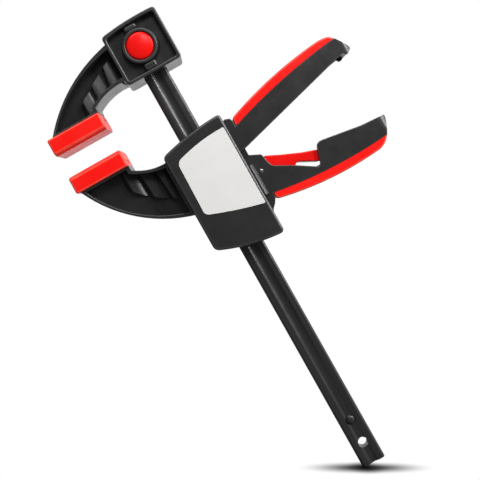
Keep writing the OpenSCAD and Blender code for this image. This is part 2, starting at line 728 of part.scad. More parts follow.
module pump_lever() {
    z0 = case_top - 60;
    tip = lever_at(lever_len + 3.4, 0).x;
    color(black)
        slider()
            difference() {
                union() {
                    difference() {
                        intersection() {
                            union() {
                                slab(lever_outline(), -cheek_out - 1, cheek_out + 1);
                                bar_y(pivot.x, pivot.y, pivot_eye_r, -cheek_out - 1, cheek_out + 1);
                            }
                            plan_round(pivot.x - 20, tip, cheek_out, 6, z0, case_top + 30);
                        }
                        // space between the cheeks, open below and towards the housing
                        intersection() {
                            slab(concat([[pivot.x - 20, case_top + 20],
                                [lever_back(grip_t)[0].x, case_top + 20]], lever_back(grip_t + web_t),
                                [lever_at(lever_len - 5.4, 9.6), lever_at(lever_len - 0.4, -3),
                                lever_at(lever_len, -30), [pivot.x - 20, z0]]),
                                -cheek_out, cheek_out);
                            plan_round(pivot.x - 30, tip - 2.6, cheek_in, 4, z0, case_top + 30);
                        }
                    }
                    // noses that push the drive plate
                    both_faces()
                        bar_y(nose.x, nose.y, nose_r, rail_t / 2 + 1, cheek_in + 0.5);
                }
                // seat of the soft grip on both cheeks
                both_faces()
                    slab(concat(lever_seam(), [[frame_r + 0.5, case_top + 20], [tip, case_top + 20]]),
                        cheek_out - grip_side, cheek_out + 1);
                bar_y(pivot.x, pivot.y, pivot_pin_d / 2 + pin_clear, -cheek_out - 1, cheek_out + 1);
            }
}
module pump_lever_grip() {
    color(red)
        slider()
            difference() {
                slab(soft(concat([concat(lever_back(0)[0], [2])], [for (i = [1:11]) lever_back(0)[i]],
                    [concat(lever_back(0)[12], [2]), concat(lever_at(lever_len - 3.3, 14.6), [2])],
                    [for (i = [0:11]) lever_seam()[i]], [concat(lever_seam()[12], [2])]), 3),
                    -cheek_out - grip_proud, cheek_out + grip_proud);
                slab(concat([[frame_r - 4, case_top - 20], [lever_back(grip_t)[0].x - 6, case_top - 7]],
                    lever_back(grip_t), [lever_at(lever_len - 3.4, 12.6), lever_at(lever_len - 0.9, 10.4),
                    lever_at(lever_len + 6, -10), lever_at(0, -10)]),
                    -cheek_out + grip_side, cheek_out - grip_side);
            }
}
module pump_pivot_pin() {
    color(steel)
        slider()
            bar_y(pivot.x, pivot.y, pivot_pin_d / 2, -case_y + cover_wall + 0.1, case_y - cover_wall - 0.1);
}
module drive_plate() {
    plate_y = frame_y - 0.7;
    gap = 0.2;
    color(steel)
        slider()
            translate([0, 0, drive_top - drive_plate_t])
                linear_extrude(drive_plate_t)
                    difference() {
                        polygon(soft([[rail_l - 4.8, -plate_y, 3], [rail_r + 5.3, -plate_y, 3],
                            [rail_r + 5.3, plate_y, 3], [rail_l - 4.8, plate_y, 3]]));
                        translate([rail_x, 0])
                            square([rail_w + 2 * gap, rail_t + 2 * gap], center = true);
                    }
}
module drive_spring() {
    color(steel)
        slider()
            translate([rail_x, 0, shelf_top + eps])
                coil(drive_spring_d, drive_wire, drive_spring_h - 2 * eps, 3, 8, 20);
}

// ---- brake and release ----
module brake_plate() {
    far = 11.3;
    near = fulcrum.x - rail_l + 6.6;
    mid = (fulcrum.x - rail_x - brake_plate_t / 2 * sin(brake_tilt)) / cos(brake_tilt);
    color(steel)
        slider()
            translate([fulcrum.x, 0, fulcrum.y])
                rotate([0, brake_tilt, 0])
                    translate([0, 0, -brake_plate_t])
                        linear_extrude(brake_plate_t)
                            difference() {
                                polygon(soft([[-near, -release_y, 2.5], [far, -release_y, 2.5],
                                    [far, release_y, 2.5], [-near, release_y, 2.5]]));
                                translate([-mid, 0])
                                    square([brake_window, rail_t + 0.4], center = true);
                            }
}
module brake_spring() {
    top = fulcrum.y - brake_plate_t / cos(brake_tilt) + (fulcrum.x - rail_l + 1.6) * tan(brake_tilt) - 0.1;
    color(steel)
        slider()
            translate([rail_l - 4.1, 0, brake_seat + eps])
                coil(brake_spring_d, brake_wire, top - brake_seat - eps, 7);
}
module release_lever() {
    x = release_pin.x;
    z = release_pin.y;
    nose_x = fulcrum.x + release_reach;
    nose_z = fulcrum.y - 5.9;
    color(red)
        slider()
            difference() {
                union() {
                    bar_y(x, z, hub_r, -release_y, release_y);
                    slab(soft([[x - 2, z + 4.2], [x + 5.4, z + 6.2, 1], [x + 6.6, z + 7.9, 1],
                        [x + 16.3, z + 3.2], [x + 28.8, z - 2.2], [x + 40.4, z - 6.2],
                        [x + 51.3, z - 9.8, 1.5], [x + 51.3, z - 15.9, 1.5], [x + 37.5, z - 13.7],
                        [x + 24.2, z - 6.7, 1], [x + 20.8, z - 8.7, 1], [x + 16.3, z - 12.3, 3],
                        [x + 7, z - 8.6, 2], [x + 1, z - 4.5]]), -release_y, release_y);
                    // nose under the brake plate's end
                    slab([[x - 4.5, z - 0.5], [x + 2, z - 4], [x - 2.7, z - 10.8],
                        [nose_x + 1.5, nose_z - 1.8], [nose_x, nose_z - release_nose_r],
                        [nose_x - 0.8, nose_z - 1.1], [nose_x - 0.8, nose_z + 0.6],
                        [nose_x + 2.4, nose_z + 0.9], [x - 5.7, z - 4.3]],
                        -release_y + 0.4, release_y - 0.4);
                    bar_y(nose_x, nose_z, release_nose_r, -release_y + 0.4, release_y - 0.4);
                }
                bar_y(x, z, release_pin_d / 2 + pin_clear, -frame_y, frame_y);
            }
}
module release_pivot_pin() {
    color(steel)
        slider()
            bar_y(release_pin.x, release_pin.y, release_pin_d / 2, -frame_y, frame_y);
}

rail();
rail_stop_pin();
fixed_jaw_head();
fixed_pad();
lock_button();
lock_pin();
lock_pin_clip();
button_spring();
housing_frame();
front_cover();
rear_cover();
cover_screws();
label_plate();
moving_pad();
handle_grip();
pump_lever();
pump_lever_grip();
pump_pivot_pin();
drive_plate();
drive_spring();
brake_plate();
brake_spring();
release_lever();
release_pivot_pin();
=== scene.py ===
"""Looks of a one-handed bar clamp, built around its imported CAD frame.

The rail runs along Z with the head at the top, the jaws reach towards -X, the handles towards +X
and the name plate faces -Y. Sizes are in millimetres; each piece is brought to metres as it is finished.
"""

import json
import logging
import math
from dataclasses import dataclass, field
from enum import Enum
from typing import Callable, ClassVar, Optional, Sequence, Union

import bmesh
import bpy
from mathutils import Matrix, Vector

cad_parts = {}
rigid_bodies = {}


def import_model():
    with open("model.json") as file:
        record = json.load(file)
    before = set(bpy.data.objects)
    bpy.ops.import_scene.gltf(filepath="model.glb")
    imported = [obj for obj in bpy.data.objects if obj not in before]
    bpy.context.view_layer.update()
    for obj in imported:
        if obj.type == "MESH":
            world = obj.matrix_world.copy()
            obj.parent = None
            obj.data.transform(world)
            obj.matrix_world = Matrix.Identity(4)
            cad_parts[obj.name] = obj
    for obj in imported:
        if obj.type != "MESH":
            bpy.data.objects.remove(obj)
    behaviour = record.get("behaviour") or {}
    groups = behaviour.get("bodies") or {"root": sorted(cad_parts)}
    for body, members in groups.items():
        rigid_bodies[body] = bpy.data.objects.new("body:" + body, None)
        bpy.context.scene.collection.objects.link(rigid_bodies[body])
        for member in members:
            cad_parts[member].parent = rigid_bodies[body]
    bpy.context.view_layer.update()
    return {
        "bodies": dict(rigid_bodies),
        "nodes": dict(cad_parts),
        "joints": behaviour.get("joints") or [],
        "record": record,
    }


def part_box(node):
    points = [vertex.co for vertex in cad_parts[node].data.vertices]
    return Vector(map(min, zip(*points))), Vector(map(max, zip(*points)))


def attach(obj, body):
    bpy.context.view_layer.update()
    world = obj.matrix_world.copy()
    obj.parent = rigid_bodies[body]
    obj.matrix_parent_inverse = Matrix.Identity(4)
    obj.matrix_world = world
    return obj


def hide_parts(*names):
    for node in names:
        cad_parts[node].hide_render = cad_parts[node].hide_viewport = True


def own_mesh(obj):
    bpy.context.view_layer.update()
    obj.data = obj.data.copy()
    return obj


Node = bpy.types.Node
Socket = bpy.types.NodeSocket
Tree = bpy.types.NodeTree
Triple = tuple[float, float, float]
Span = tuple[float, float]
Source = Union[Socket, float, Triple]

LOG = logging.getLogger("bar_clamp")
MM = 0.001
FAR = 500.0
EDGE_MARK = "edge_mark"
Y_AXIS = Vector((0.0, 1.0, 0.0))
Z_AXIS = Vector((0.0, 0.0, 1.0))
QUARTER_TURN = Matrix.Rotation(math.pi / 2, 3, "X")


# ---------------------------------------------------------------- named choices


class Body(Enum):
    """The frame's bodies."""

    RAIL = "rail_and_fixed_jaw"
    BUTTON = "button"
    JAW = "moving_jaw"
    PUMP = "pump"
    DRIVE = "drive"
    BRAKE = "brake"
    RELEASE = "release"


class Slot(Enum):
    """The material slots of the record."""

    BLACK_STEEL = "black_steel"
    BLACK_PLASTIC = "black_plastic"
    RED_RUBBER = "red_rubber"
    RED_PLASTIC = "red_plastic"
    BRIGHT_STEEL = "bright_steel"
    PLATE_STEEL = "plate_steel"
    SPRING_STEEL = "spring_steel"
    LABEL_FILM = "label_film"


class Curve(Enum):
    """How a value goes from one end of a range to the other."""

    STRAIGHT = "LINEAR"
    SOFT = "SMOOTHSTEP"


class Mixed(Enum):
    """What a mix is of: its data type, its first input's index and its output's index."""

    VALUES = ("FLOAT", 2, 0)
    COLOURS = ("RGBA", 6, 2)


# ---------------------------------------------------------------- shader helpers


class Sketch:
    """A node tree that is filled by short calls."""

    def __init__(self, tree: Tree) -> None:
        """Takes the node tree to fill."""
        self.tree = tree

    @classmethod
    def on(cls, owner: Union[bpy.types.Material, bpy.types.World]) -> "Sketch":
        """Clears a material's or a world's nodes.

        Args:
            owner: The material or world.

        Returns:
            The sketch of its node tree.
        """
        owner.use_nodes = True
        owner.node_tree.nodes.clear()
        return cls(owner.node_tree)

    def node(self, kind: str, **settings: object) -> Node:
        """Adds a node.

        Args:
            kind: The node's type name.
            settings: Properties of the node, or values of its inputs by their names with _ for a space.

        Returns:
            The new node.
        """
        made = self.tree.nodes.new(kind)
        for name, value in settings.items():
            if hasattr(made, name):
                setattr(made, name, value)
            else:
                made.inputs[name.replace("_", " ")].default_value = value
        return made

    def use(self, shared: Tree, **settings: float) -> Node:
        """Places a shared node group with values for its inputs and returns its node."""
        return self.node("ShaderNodeGroup", node_tree=shared, **settings)

    def feed(self, target: Socket, source: Source) -> None:
        """Links an output to an input, or sets the input to a plain value.

        Args:
            target: The input.
            source: The output or the value; a colour is given without its alpha.
        """
        if isinstance(source, Socket):
            self.tree.links.new(source, target)
        else:
            target.default_value = (*source, 1.0) if target.type == "RGBA" else source

    def math(self, operation: str, first: Source, second: Source) -> Socket:
        """Adds a sum on two values.

        Args:
            operation: The sum's name.
            first: The first value.
            second: The second value.

        Returns:
            The result.
        """
        made = self.node("ShaderNodeMath", operation=operation)
        self.feed(made.inputs[0], first)
        self.feed(made.inputs[1], second)
        return made.outputs["Value"]

    def vector(self, operation: str, first: Source, second: Source = (0.0, 0.0, 0.0)) -> Node:
        """Adds a sum on vectors.

        Args:
            operation: The sum's name.
            first: The first vector.
            second: The second vector, where the sum has one.

        Returns:
            The node, whose result is in its Vector or its Value output.
        """
        made = self.node("ShaderNodeVectorMath", operation=operation)
        self.feed(made.inputs[0], first)
        self.feed(made.inputs[1], second)
        return made

    def mix(self, kind: Mixed, share: Socket, first: Source, second: Source) -> Socket:
        """Mixes two values or colours.

        Args:
            kind: What is mixed.
            share: The second's share.
            first: The first value or colour.
            second: The second value or colour.

        Returns:
            The mixture.
        """
        data_type, start, result = kind.value
        made = self.node("ShaderNodeMix", data_type=data_type)
        for index, source in ((0, share), (start, first), (start + 1, second)):
            self.feed(made.inputs[index], source)
        return made.outputs[result]

    def noise(self, place: Socket, scale: float, detail: float = 2.0, roughness: float = 0.5) -> Socket:
        """Adds a noise.

        Args:
            place: Where it is read.
            scale: Its scale.
            detail: Its detail.
            roughness: Its roughness.

        Returns:
            Its value.
        """
        made = self.node("ShaderNodeTexNoise", Scale=scale, Detail=detail, Roughness=roughness)
        self.feed(made.inputs["Vector"], place)
        return made.outputs["Fac"]

    def remap(self, value: Socket, old: Span, new: Span, curve: Curve = Curve.STRAIGHT) -> Socket:
        """Maps a value from one range to another, held at its ends.

        Args:
            value: The value.
            old: The range that it comes from.
            new: The range that it is brought to.
            curve: The way between the ends.

        Returns:
            The mapped value.
        """
        made = self.node("ShaderNodeMapRange", interpolation_type=curve.value, From_Min=old[0],
                         From_Max=old[1], To_Min=new[0], To_Max=new[1])
        self.feed(made.inputs["Value"], value)
        return made.outputs["Result"]


class SharedGroup(Sketch):
    """A shared node group that is being filled: what it is given, what it gives, and its place socket."""

    def __init__(self, name: str, inputs: dict[str, float], outputs: Sequence[str]) -> None:
        """Starts the group.

        Args:
            name: Its name.
            inputs: Its inputs and their defaults.
            outputs: Its outputs.
        """
        super().__init__(bpy.data.node_groups.new(name, "ShaderNodeTree"))
        for label, default in inputs.items():
            socket = self.tree.interface.new_socket(label, in_out="INPUT", socket_type="NodeSocketFloat")
            socket.default_value = default
        for label in outputs:
            self.tree.interface.new_socket(label, in_out="OUTPUT", socket_type="NodeSocketFloat")
        self.given = self.node("NodeGroupInput").outputs
        self.gives = self.node("NodeGroupOutput").inputs
        self.place = self.node("ShaderNodeTexCoord").outputs["Object"]


class SharedEffects:
    """The node groups that several finishes use. They give out values only."""

    def __init__(self) -> None:
        """Builds the groups."""
        self.grain = self._grain()
        self.streaks = self._streaks()
        self.handling = self._handling()
        self.wear_and_highlight = self._wear_and_highlight()

    @staticmethod
    def _grain() -> Tree:
        """Builds the eroded grain of a mould: a fine pebbled height and a slow mottle.

        Returns:
            The group.
        """
        s = SharedGroup("moulded_grain", {"Scale": 1400.0}, ("Height", "Mottle"))
        pebbles = s.node("ShaderNodeTexVoronoi", feature="SMOOTH_F1")
        s.feed(pebbles.inputs["Vector"], s.place)
        s.feed(pebbles.inputs["Scale"], s.given["Scale"])
        s.feed(s.gives["Height"], pebbles.outputs["Distance"])
        s.feed(s.gives["Mottle"], s.noise(s.place, scale=90.0, detail=4.0, roughness=0.6))
        return s.tree

    @staticmethod
    def _streaks() -> Tree:
        """Builds drawing lines along the rail: a height and a broader sheen.

        Returns:
            The group.
        """
        s = SharedGroup("drawn_streaks", {"Length": 0.02}, ("Height", "Sheen"))
        squeeze = s.node("ShaderNodeCombineXYZ", X=1.0, Y=1.0)
        s.feed(squeeze.inputs["Z"], s.given["Length"])
        long = s.vector("MULTIPLY", s.place, squeeze.outputs["Vector"]).outputs["Vector"]
        s.feed(s.gives["Height"], s.noise(long, scale=2600.0, detail=3.0, roughness=0.6))
        s.feed(s.gives["Sheen"], s.noise(long, scale=380.0))
        return s.tree

    @staticmethod
    def _handling() -> Tree:
        """Builds what hands leave on a surface: soft rubbed patches, and few fine scratches.

        Returns:
            The group.
        """
        s = SharedGroup("handling", {"Amount": 1.0}, ("Rubbed", "Scratch"))
        rubbed = s.remap(s.noise(s.place, scale=28.0, detail=3.0, roughness=0.55), (0.45, 0.7), (0.0, 1.0))
        s.feed(s.gives["Rubbed"], s.math("MULTIPLY", rubbed, s.given["Amount"]))
        drawn = s.node("ShaderNodeMapping", Rotation=(0.4, 0.9, 0.3), Scale=(1.0, 14.0, 14.0))
        s.feed(drawn.inputs["Vector"], s.place)
        scratches = s.noise(drawn.outputs["Vector"], scale=60.0)
        s.feed(s.gives["Scratch"], s.remap(scratches, (0.70, 0.74), (0.0, 1.0)))
        return s.tree

    @staticmethod
    def _wear_and_highlight() -> Tree:
        """Builds the lighter tint of rounded edges, partly wear and partly a painted highlight: the pieces'
        edge mark, broken up a little.

        Returns:
            The group.
        """
        s = SharedGroup("edge_wear_and_highlight", {"Amount": 1.0}, ("Worn_and_highlighted",))
        marked = s.node("ShaderNodeAttribute", attribute_name=EDGE_MARK).outputs["Fac"]
        broken = s.remap(s.noise(s.place, scale=120.0, detail=3.0), (0.35, 0.6), (0.6, 1.0))
        # painted highlight: the marked rounded edges are lightened in any light, on top of their wear
        worn_and_highlighted = s.math("MULTIPLY", s.math("MULTIPLY", marked, broken), s.given["Amount"])
        s.feed(s.gives["Worn_and_highlighted"], worn_and_highlighted)
        return s.tree


class Coat(Sketch):
    """A piece's material: its node tree round one shader, and the shared effects at hand."""

    def __init__(self, name: str, shared: SharedEffects) -> None:
        """Starts the material.

        Args:
            name: Its name.
            shared: The shared node groups.
        """
        self.material = bpy.data.materials.new(name)
        super().__init__(Sketch.on(self.material).tree)
        self.shared = shared
        shader = self.node("ShaderNodeBsdfPrincipled")
        self.feed(self.node("ShaderNodeOutputMaterial").inputs["Surface"], shader.outputs["BSDF"])
        self.inputs = shader.inputs

    def grain(self, scale: float) -> Node:
        """Places the mould's grain and returns its node."""
        return self.use(self.shared.grain, Scale=scale)

    def hands(self, amount: float) -> Node:
        """Places the marks of hands and returns their node."""
        return self.use(self.shared.handling, Amount=amount)

    def tinted(self, colour: Source, other: Triple, mask: Socket) -> Socket:
        """Mixes a colour with another by a mask and returns the mixture."""
        return self.mix(Mixed.COLOURS, mask, colour, other)

    def worn_and_highlighted(self, colour: Socket, edge: Triple, amount: float) -> Socket:
        """Lets the rounded edges show a lighter colour, partly worn and partly a painted highlight, and
        returns the mixture.
        """
        return self.tinted(colour, edge, self.use(self.shared.wear_and_highlight, Amount=amount).outputs["Worn_and_highlighted"])

    def bump(self, height: Socket, relief: Span) -> None:
        """Gives the shader a bump.

        Args:
            height: The height, from 0 to 1.
            relief: Its depth in millimetres and its strength.
        """
        depth, strength = relief
        bump = self.node("ShaderNodeBump", Strength=strength, Distance=depth * MM)
        self.feed(bump.inputs["Height"], height)
        self.feed(self.inputs["Normal"], bump.outputs["Normal"])


# ---------------------------------------------------------------- finishes


@dataclass(frozen=True)
class Finish:
    """A finish; each kind adds its own nodes in dress.

    play is how much smoother and rougher its mottle makes it, and relief the depth in millimetres and the
    strength of its bump.
    """

    name: str
    colour: Triple
    roughness: float
    play: Span = (0.0, 0.0)
    relief: Span = (0.0, 0.0)

    def material(self, shared: SharedEffects) -> bpy.types.Material:
        """Makes the finish's material.

        Args:
            shared: The shared node groups.

        Returns:
            The material.
        """
        coat = Coat(self.name, shared)
        coat.feed(coat.inputs["Base Color"], self.colour)
        coat.feed(coat.inputs["Roughness"], self.roughness)
        self.dress(coat)
        return coat.material

    def dress(self, coat: Coat) -> None:
        """Adds the finish's own nodes; a plain finish adds none."""

    def mottle_gloss(self, coat: Coat, mottle: Socket) -> None:
        """Lets the roughness vary with a mottle.

        Args:
            coat: The material that is dressed.
            mottle: The mottle.
        """
        smoother, rougher = self.play
        rough = coat.remap(mottle, (0.3, 0.7), (self.roughness - smoother, self.roughness + rougher))
        coat.feed(coat.inputs["Roughness"], rough)


@dataclass(frozen=True)
class Moulding(Finish):
    """A moulded surface with an eroded grain, rubbed patches and edges lightened partly as wear and partly as
    a painted highlight.
    """

    level: float = 0.5
    grain_scale: float = 1400.0
    rubbed: Triple = (0.5, 0.5, 0.5)
    rubbing: float = 0.3
    # edge colour of the rounded edges: partly wear, partly a painted highlight
    edge: Triple = (0.5, 0.5, 0.5)
    edge_wear_and_highlight: float = 0.7

    def dress(self, coat: Coat) -> None:
        """Adds grain, mottle, rubbed patches and edges lightened as wear and as a painted highlight.

        Args:
            coat: The material that is dressed.
        """
        coat.feed(coat.inputs["Specular IOR Level"], self.level)
        grain = coat.grain(self.grain_scale).outputs
        colour = coat.tinted(self.colour, self.rubbed, coat.hands(self.rubbing).outputs["Rubbed"])
        coat.feed(coat.inputs["Base Color"], coat.worn_and_highlighted(colour, self.edge, self.edge_wear_and_highlight))
        self.mottle_gloss(coat, grain["Mottle"])
        coat.bump(grain["Height"], self.relief)


@dataclass(frozen=True)
class MouldedPlastic(Moulding):
    """Glass-filled plastic with an eroded grain and a dull sheen."""

    play: Span = (0.06, 0.06)
    relief: Span = (0.016, 0.12)
    rubbed: Triple = (0.032, 0.032, 0.033)
    rubbing: float = 0.35
    # lighter grey on rounded edges: partly wear, partly a painted highlight
    edge: Triple = (0.060, 0.060, 0.062)


@dataclass(frozen=True)
class SoftRubber(Moulding):
    """Soft moulded rubber: matt, with a fine grain, a paler bloom and pink rounded edges that are partly worn
    and partly a painted highlight.
    """

    play: Span = (0.07, 0.05)
    relief: Span = (0.03, 0.3)
    level: float = 0.25
    grain_scale: float = 1100.0
    rubbed: Triple = (0.88, 0.022, 0.012)
    rubbing: float = 0.25
    # pink on rounded edges: partly wear, partly a painted highlight
    edge: Triple = (0.92, 0.14, 0.09)
    edge_wear_and_highlight: float = 0.6


@dataclass(frozen=True)
class GlossPlastic(Finish):
    """Smooth hard plastic with a slight flow in its gloss, a little deeper in colour where it is rubbed."""

    play: Span = (0.05, 0.08)
    relief: Span = (0.05, 0.15)
    level: float = 0.2
    flow_scale: float = 500.0
    rubbing: float = 0.3
    depth: float = 0.82

    def dress(self, coat: Coat) -> None:
        """Adds rubbed patches and flow marks in the gloss.

        Args:
            coat: The material that is dressed.
        """
        coat.feed(coat.inputs["Specular IOR Level"], self.level)
        deep = tuple(part * self.depth for part in self.colour)
        rubbed = coat.hands(self.rubbing).outputs["Rubbed"]
        coat.feed(coat.inputs["Base Color"], coat.tinted(self.colour, deep, rubbed))
        mottle = coat.grain(self.flow_scale).outputs["Mottle"]
        self.mottle_gloss(coat, mottle)
        coat.bump(mottle, self.relief)


@dataclass(frozen=True)
class RolledSteel(Finish):
    """Blackened rolled steel with drawing lines along its length."""

    play: Span = (0.07, 0.07)
    relief: Span = (0.012, 0.2)
    bare: Triple = (0.040, 0.040, 0.042)
    bare_share: float = 0.7
    # lighter tone on rounded edges: partly wear, partly a painted highlight
    edge: Triple = (0.070, 0.070, 0.073)
    edge_wear_and_highlight: float = 0.7
    streak_length: float = 0.02
    mottle_scale: float = 900.0

    def dress(self, coat: Coat) -> None:
        """Adds streaks in colour, gloss and height, and edges lightened as wear and as a painted highlight.

        Args:
            coat: The material that is dressed.
        """
        streaks = coat.use(coat.shared.streaks, Length=self.streak_length).outputs
        mask = coat.remap(streaks["Sheen"], (0.35, 0.75), (0.0, self.bare_share))
        colour = coat.tinted(self.colour, self.bare, mask)
        coat.feed(coat.inputs["Base Color"], coat.worn_and_highlighted(colour, self.edge, self.edge_wear_and_highlight))
        self.mottle_gloss(coat, coat.grain(self.mottle_scale).outputs["Mottle"])
        coat.bump(streaks["Height"], self.relief)


@dataclass(frozen=True)
class BareSteel(Finish):
    """Bright or plated steel with fine scratches and a slight tarnish."""

    play: Span = (0.08, 0.12)
    relief: Span = (0.01, 0.4)
    tarnish: Triple = (0.32, 0.31, 0.30)
    rubbing: float = 0.6
    mottle_scale: float = 700.0

    def dress(self, coat: Coat) -> None:
        """Adds tarnish, mottle and scratches.

        Args:
            coat: The material that is dressed.
        """
        coat.feed(coat.inputs["Metallic"], 1.0)
        hands = coat.hands(self.rubbing).outputs
        coat.feed(coat.inputs["Base Color"], coat.tinted(self.colour, self.tarnish, hands["Rubbed"]))
        self.mottle_gloss(coat, coat.grain(self.mottle_scale).outputs["Mottle"])
        coat.bump(hands["Scratch"], self.relief)


@dataclass(frozen=True)
class PrintedFilm(Finish):
    """A printed film with a faint tooth under a satin coat."""

    relief: Span = (0.01, 0.2)
    shade: Triple = (0.70, 0.69, 0.675)
    tooth_scale: float = 2200.0
    coat_weight: float = 0.15
    coat_roughness: float = 0.25

    def dress(self, coat: Coat) -> None:
        """Adds the film's tooth, its coat and a faint shade.

        Args:
            coat: The material that is dressed.
        """
        coat.feed(coat.inputs["Coat Weight"], self.coat_weight)
        coat.feed(coat.inputs["Coat Roughness"], self.coat_roughness)
        grain = coat.grain(self.tooth_scale).outputs
        coat.feed(coat.inputs["Base Color"], coat.tinted(self.colour, self.shade, grain["Mottle"]))
        coat.bump(grain["Height"], self.relief)


@dataclass(frozen=True)
class FloorPaper:
    """White paper that takes light near the foot, is plain white at its rim and carries a painted shadow
    under the foot.

    centre is the middle of the painted shadow, and across and away are its half width and half depth as
    vectors over their own squared lengths, so that a dot product with them gives 1 at its rim. The painted
    shadow is full within core, a share of the way to its rim, and the paper goes from lit to plain over
    clear, in metres.
    """

    centre: Triple
    across: Triple
    away: Triple
    white: float = 0.12
    darkest: float = 0.07
    core: float = 0.15
    clear: Span = (0.0, 0.015)

    def material(self) -> bpy.types.Material:
        """Makes the paper's material.

        Returns:
            The material.
        """
        material = bpy.data.materials.new("floor_paper")
        s = Sketch.on(material)
        place = s.node("ShaderNodeTexCoord").outputs["Object"]
        offset = s.vector("SUBTRACT", place, self.centre).outputs["Vector"]
        # painted shadow: the paper's colour and glow darken in an oval round the foot
        shade = s.remap(self.oval(s, offset), (self.core, 1.0), (self.darkest, 1.0), Curve.SOFT)
        distance = s.vector("LENGTH", offset).outputs["Value"]
        clear = s.remap(distance, self.clear, (0.0, 1.0), Curve.SOFT)
        path = s.node("ShaderNodeLightPath").outputs
        seen = s.math("MAXIMUM", path["Is Camera Ray"], path["Is Transmission Ray"])
        lit = s.node("ShaderNodeBsdfDiffuse")
        s.feed(lit.inputs["Color"], s.math("MULTIPLY", shade, self.white))
        glow = s.node("ShaderNodeEmission", Strength=1.0)
        s.feed(glow.inputs["Color"], shade)
        paper = s.node("ShaderNodeMixShader")
        s.feed(paper.inputs["Fac"], s.math("MULTIPLY", seen, clear))
        s.feed(paper.inputs[1], lit.outputs["BSDF"])
        s.feed(paper.inputs[2], glow.outputs["Emission"])
        s.feed(s.node("ShaderNodeOutputMaterial").inputs["Surface"], paper.outputs["Shader"])
        return material

    def oval(self, s: Sketch, offset: Socket) -> Socket:
        """Works out how far out of the shade's oval a place is.

        Args:
            s: The paper's sketch.
            offset: The place from the shade's middle.

        Returns:
            The distance, with 1 at the rim.
        """
        both = s.node("ShaderNodeCombineXYZ")
        for name, way in (("X", self.across), ("Y", self.away)):
            s.feed(both.inputs[name], s.vector("DOT_PRODUCT", offset, way).outputs["Value"])
        return s.vector("LENGTH", both.outputs["Vector"]).outputs["Value"]


@dataclass
class Paintbox:
    """The clamp's materials by their slot."""

    shared: SharedEffects = field(default_factory=SharedEffects)
    finishes: dict[Slot, Finish] = field(default_factory=lambda: {
        Slot.BLACK_STEEL: RolledSteel("blackened_steel", (0.020, 0.020, 0.021), 0.26),
        Slot.BLACK_PLASTIC: MouldedPlastic("black_plastic", (0.0195, 0.0195, 0.020), 0.30),
        Slot.RED_RUBBER: SoftRubber("red_rubber", (0.94, 0.006, 0.003), 0.36),
        Slot.RED_PLASTIC: GlossPlastic("red_plastic", (0.80, 0.005, 0.004), 0.27),
        Slot.BRIGHT_STEEL: BareSteel("bright_steel", (0.62, 0.62, 0.63), 0.24),
        Slot.PLATE_STEEL: BareSteel("plate_steel", (0.42, 0.42, 0.43), 0.38),
        Slot.SPRING_STEEL: BareSteel("spring_steel", (0.5, 0.5, 0.51), 0.3),
        Slot.LABEL_FILM: PrintedFilm("label_film", (0.76, 0.755, 0.74), 0.42),
    })
    made: dict[Slot, bpy.types.Material] = field(default_factory=dict)

    def __post_init__(self) -> None:
        """Makes every material once."""
        for slot, finish in self.finishes.items():
            self.made[slot] = finish.material(self.shared)


# ---------------------------------------------------------------- shaping


@dataclass(frozen=True)
class Corner:
    """A corner of an outline in X and Z.

    round is the setback of its rounding, and bulge the rise of the edge to the next corner, to the left of
    the way, drawn with cuts points.
    """

    x: float
    z: float
    round: float = 0.0
    bulge: float = 0.0
    cuts: int = 9


@dataclass(frozen=True)
class Coil:
    """A coil spring: the foot of its axis, the way it is wound, and its size in millimetres."""

    seat: Vector
    way: Vector
    diameter: float
    wire: float
    height: float
    turns: float
    sides: int = 10
    steps_per_turn: int = 28


@dataclass(frozen=True)
class Squeeze:
    """The joint that shortens a spring, and the share of its height that is left at the joint's limit."""

    joint: str
    keep: float


@dataclass(frozen=True)
class Rounding:
    """How edges are rounded: width in millimetres, segments, and the angle in degrees that counts as an edge.

    kept_apart keeps a rounding from crossing its neighbours. With a level, only edges at that distance from
    the clamp's middle plane are taken, within slack. Edges are taken between the X of after and before, and
    below the Z of under. spare leaves edges that touch a face that looks up (1) or down (-1) by half or more.
    """

    slack: ClassVar[float] = 0.02
    looking: ClassVar[float] = 0.5

    width: float
    segments: int = 3
    angle: float = 50.0
    kept_apart: bool = False
    level: Optional[float] = None
    after: float = -FAR
    before: float = FAR
    under: float = FAR
    spare: float = 0.0

    def takes(self, edge: bmesh.types.BMEdge) -> bool:
        """Tells whether an edge is one of those to round.

        Args:
            edge: The edge.

        Returns:
            True if it is.
        """
        if not edge.is_manifold or edge.calc_face_angle() <= math.radians(self.angle):
            return False
        middle = middle_of(edge)
        if not self.after < middle.x < self.before or middle.z > self.under:
            return False
        if self.spare and any(face.normal.z * self.spare > self.looking for face in edge.link_faces):
            return False
        return self.level is None or lies_at(edge, self.level, self.slack)


def middle_of(edge: bmesh.types.BMEdge) -> Vector:
    """Returns the middle of an edge."""
    return (edge.verts[0].co + edge.verts[1].co) / 2


def lies_at(edge: bmesh.types.BMEdge, level: float, slack: float) -> bool:
    """Tells whether an edge lies at a distance from the clamp's middle plane."""
    return all(abs(abs(vert.co.y) - level) < slack for vert in edge.verts)


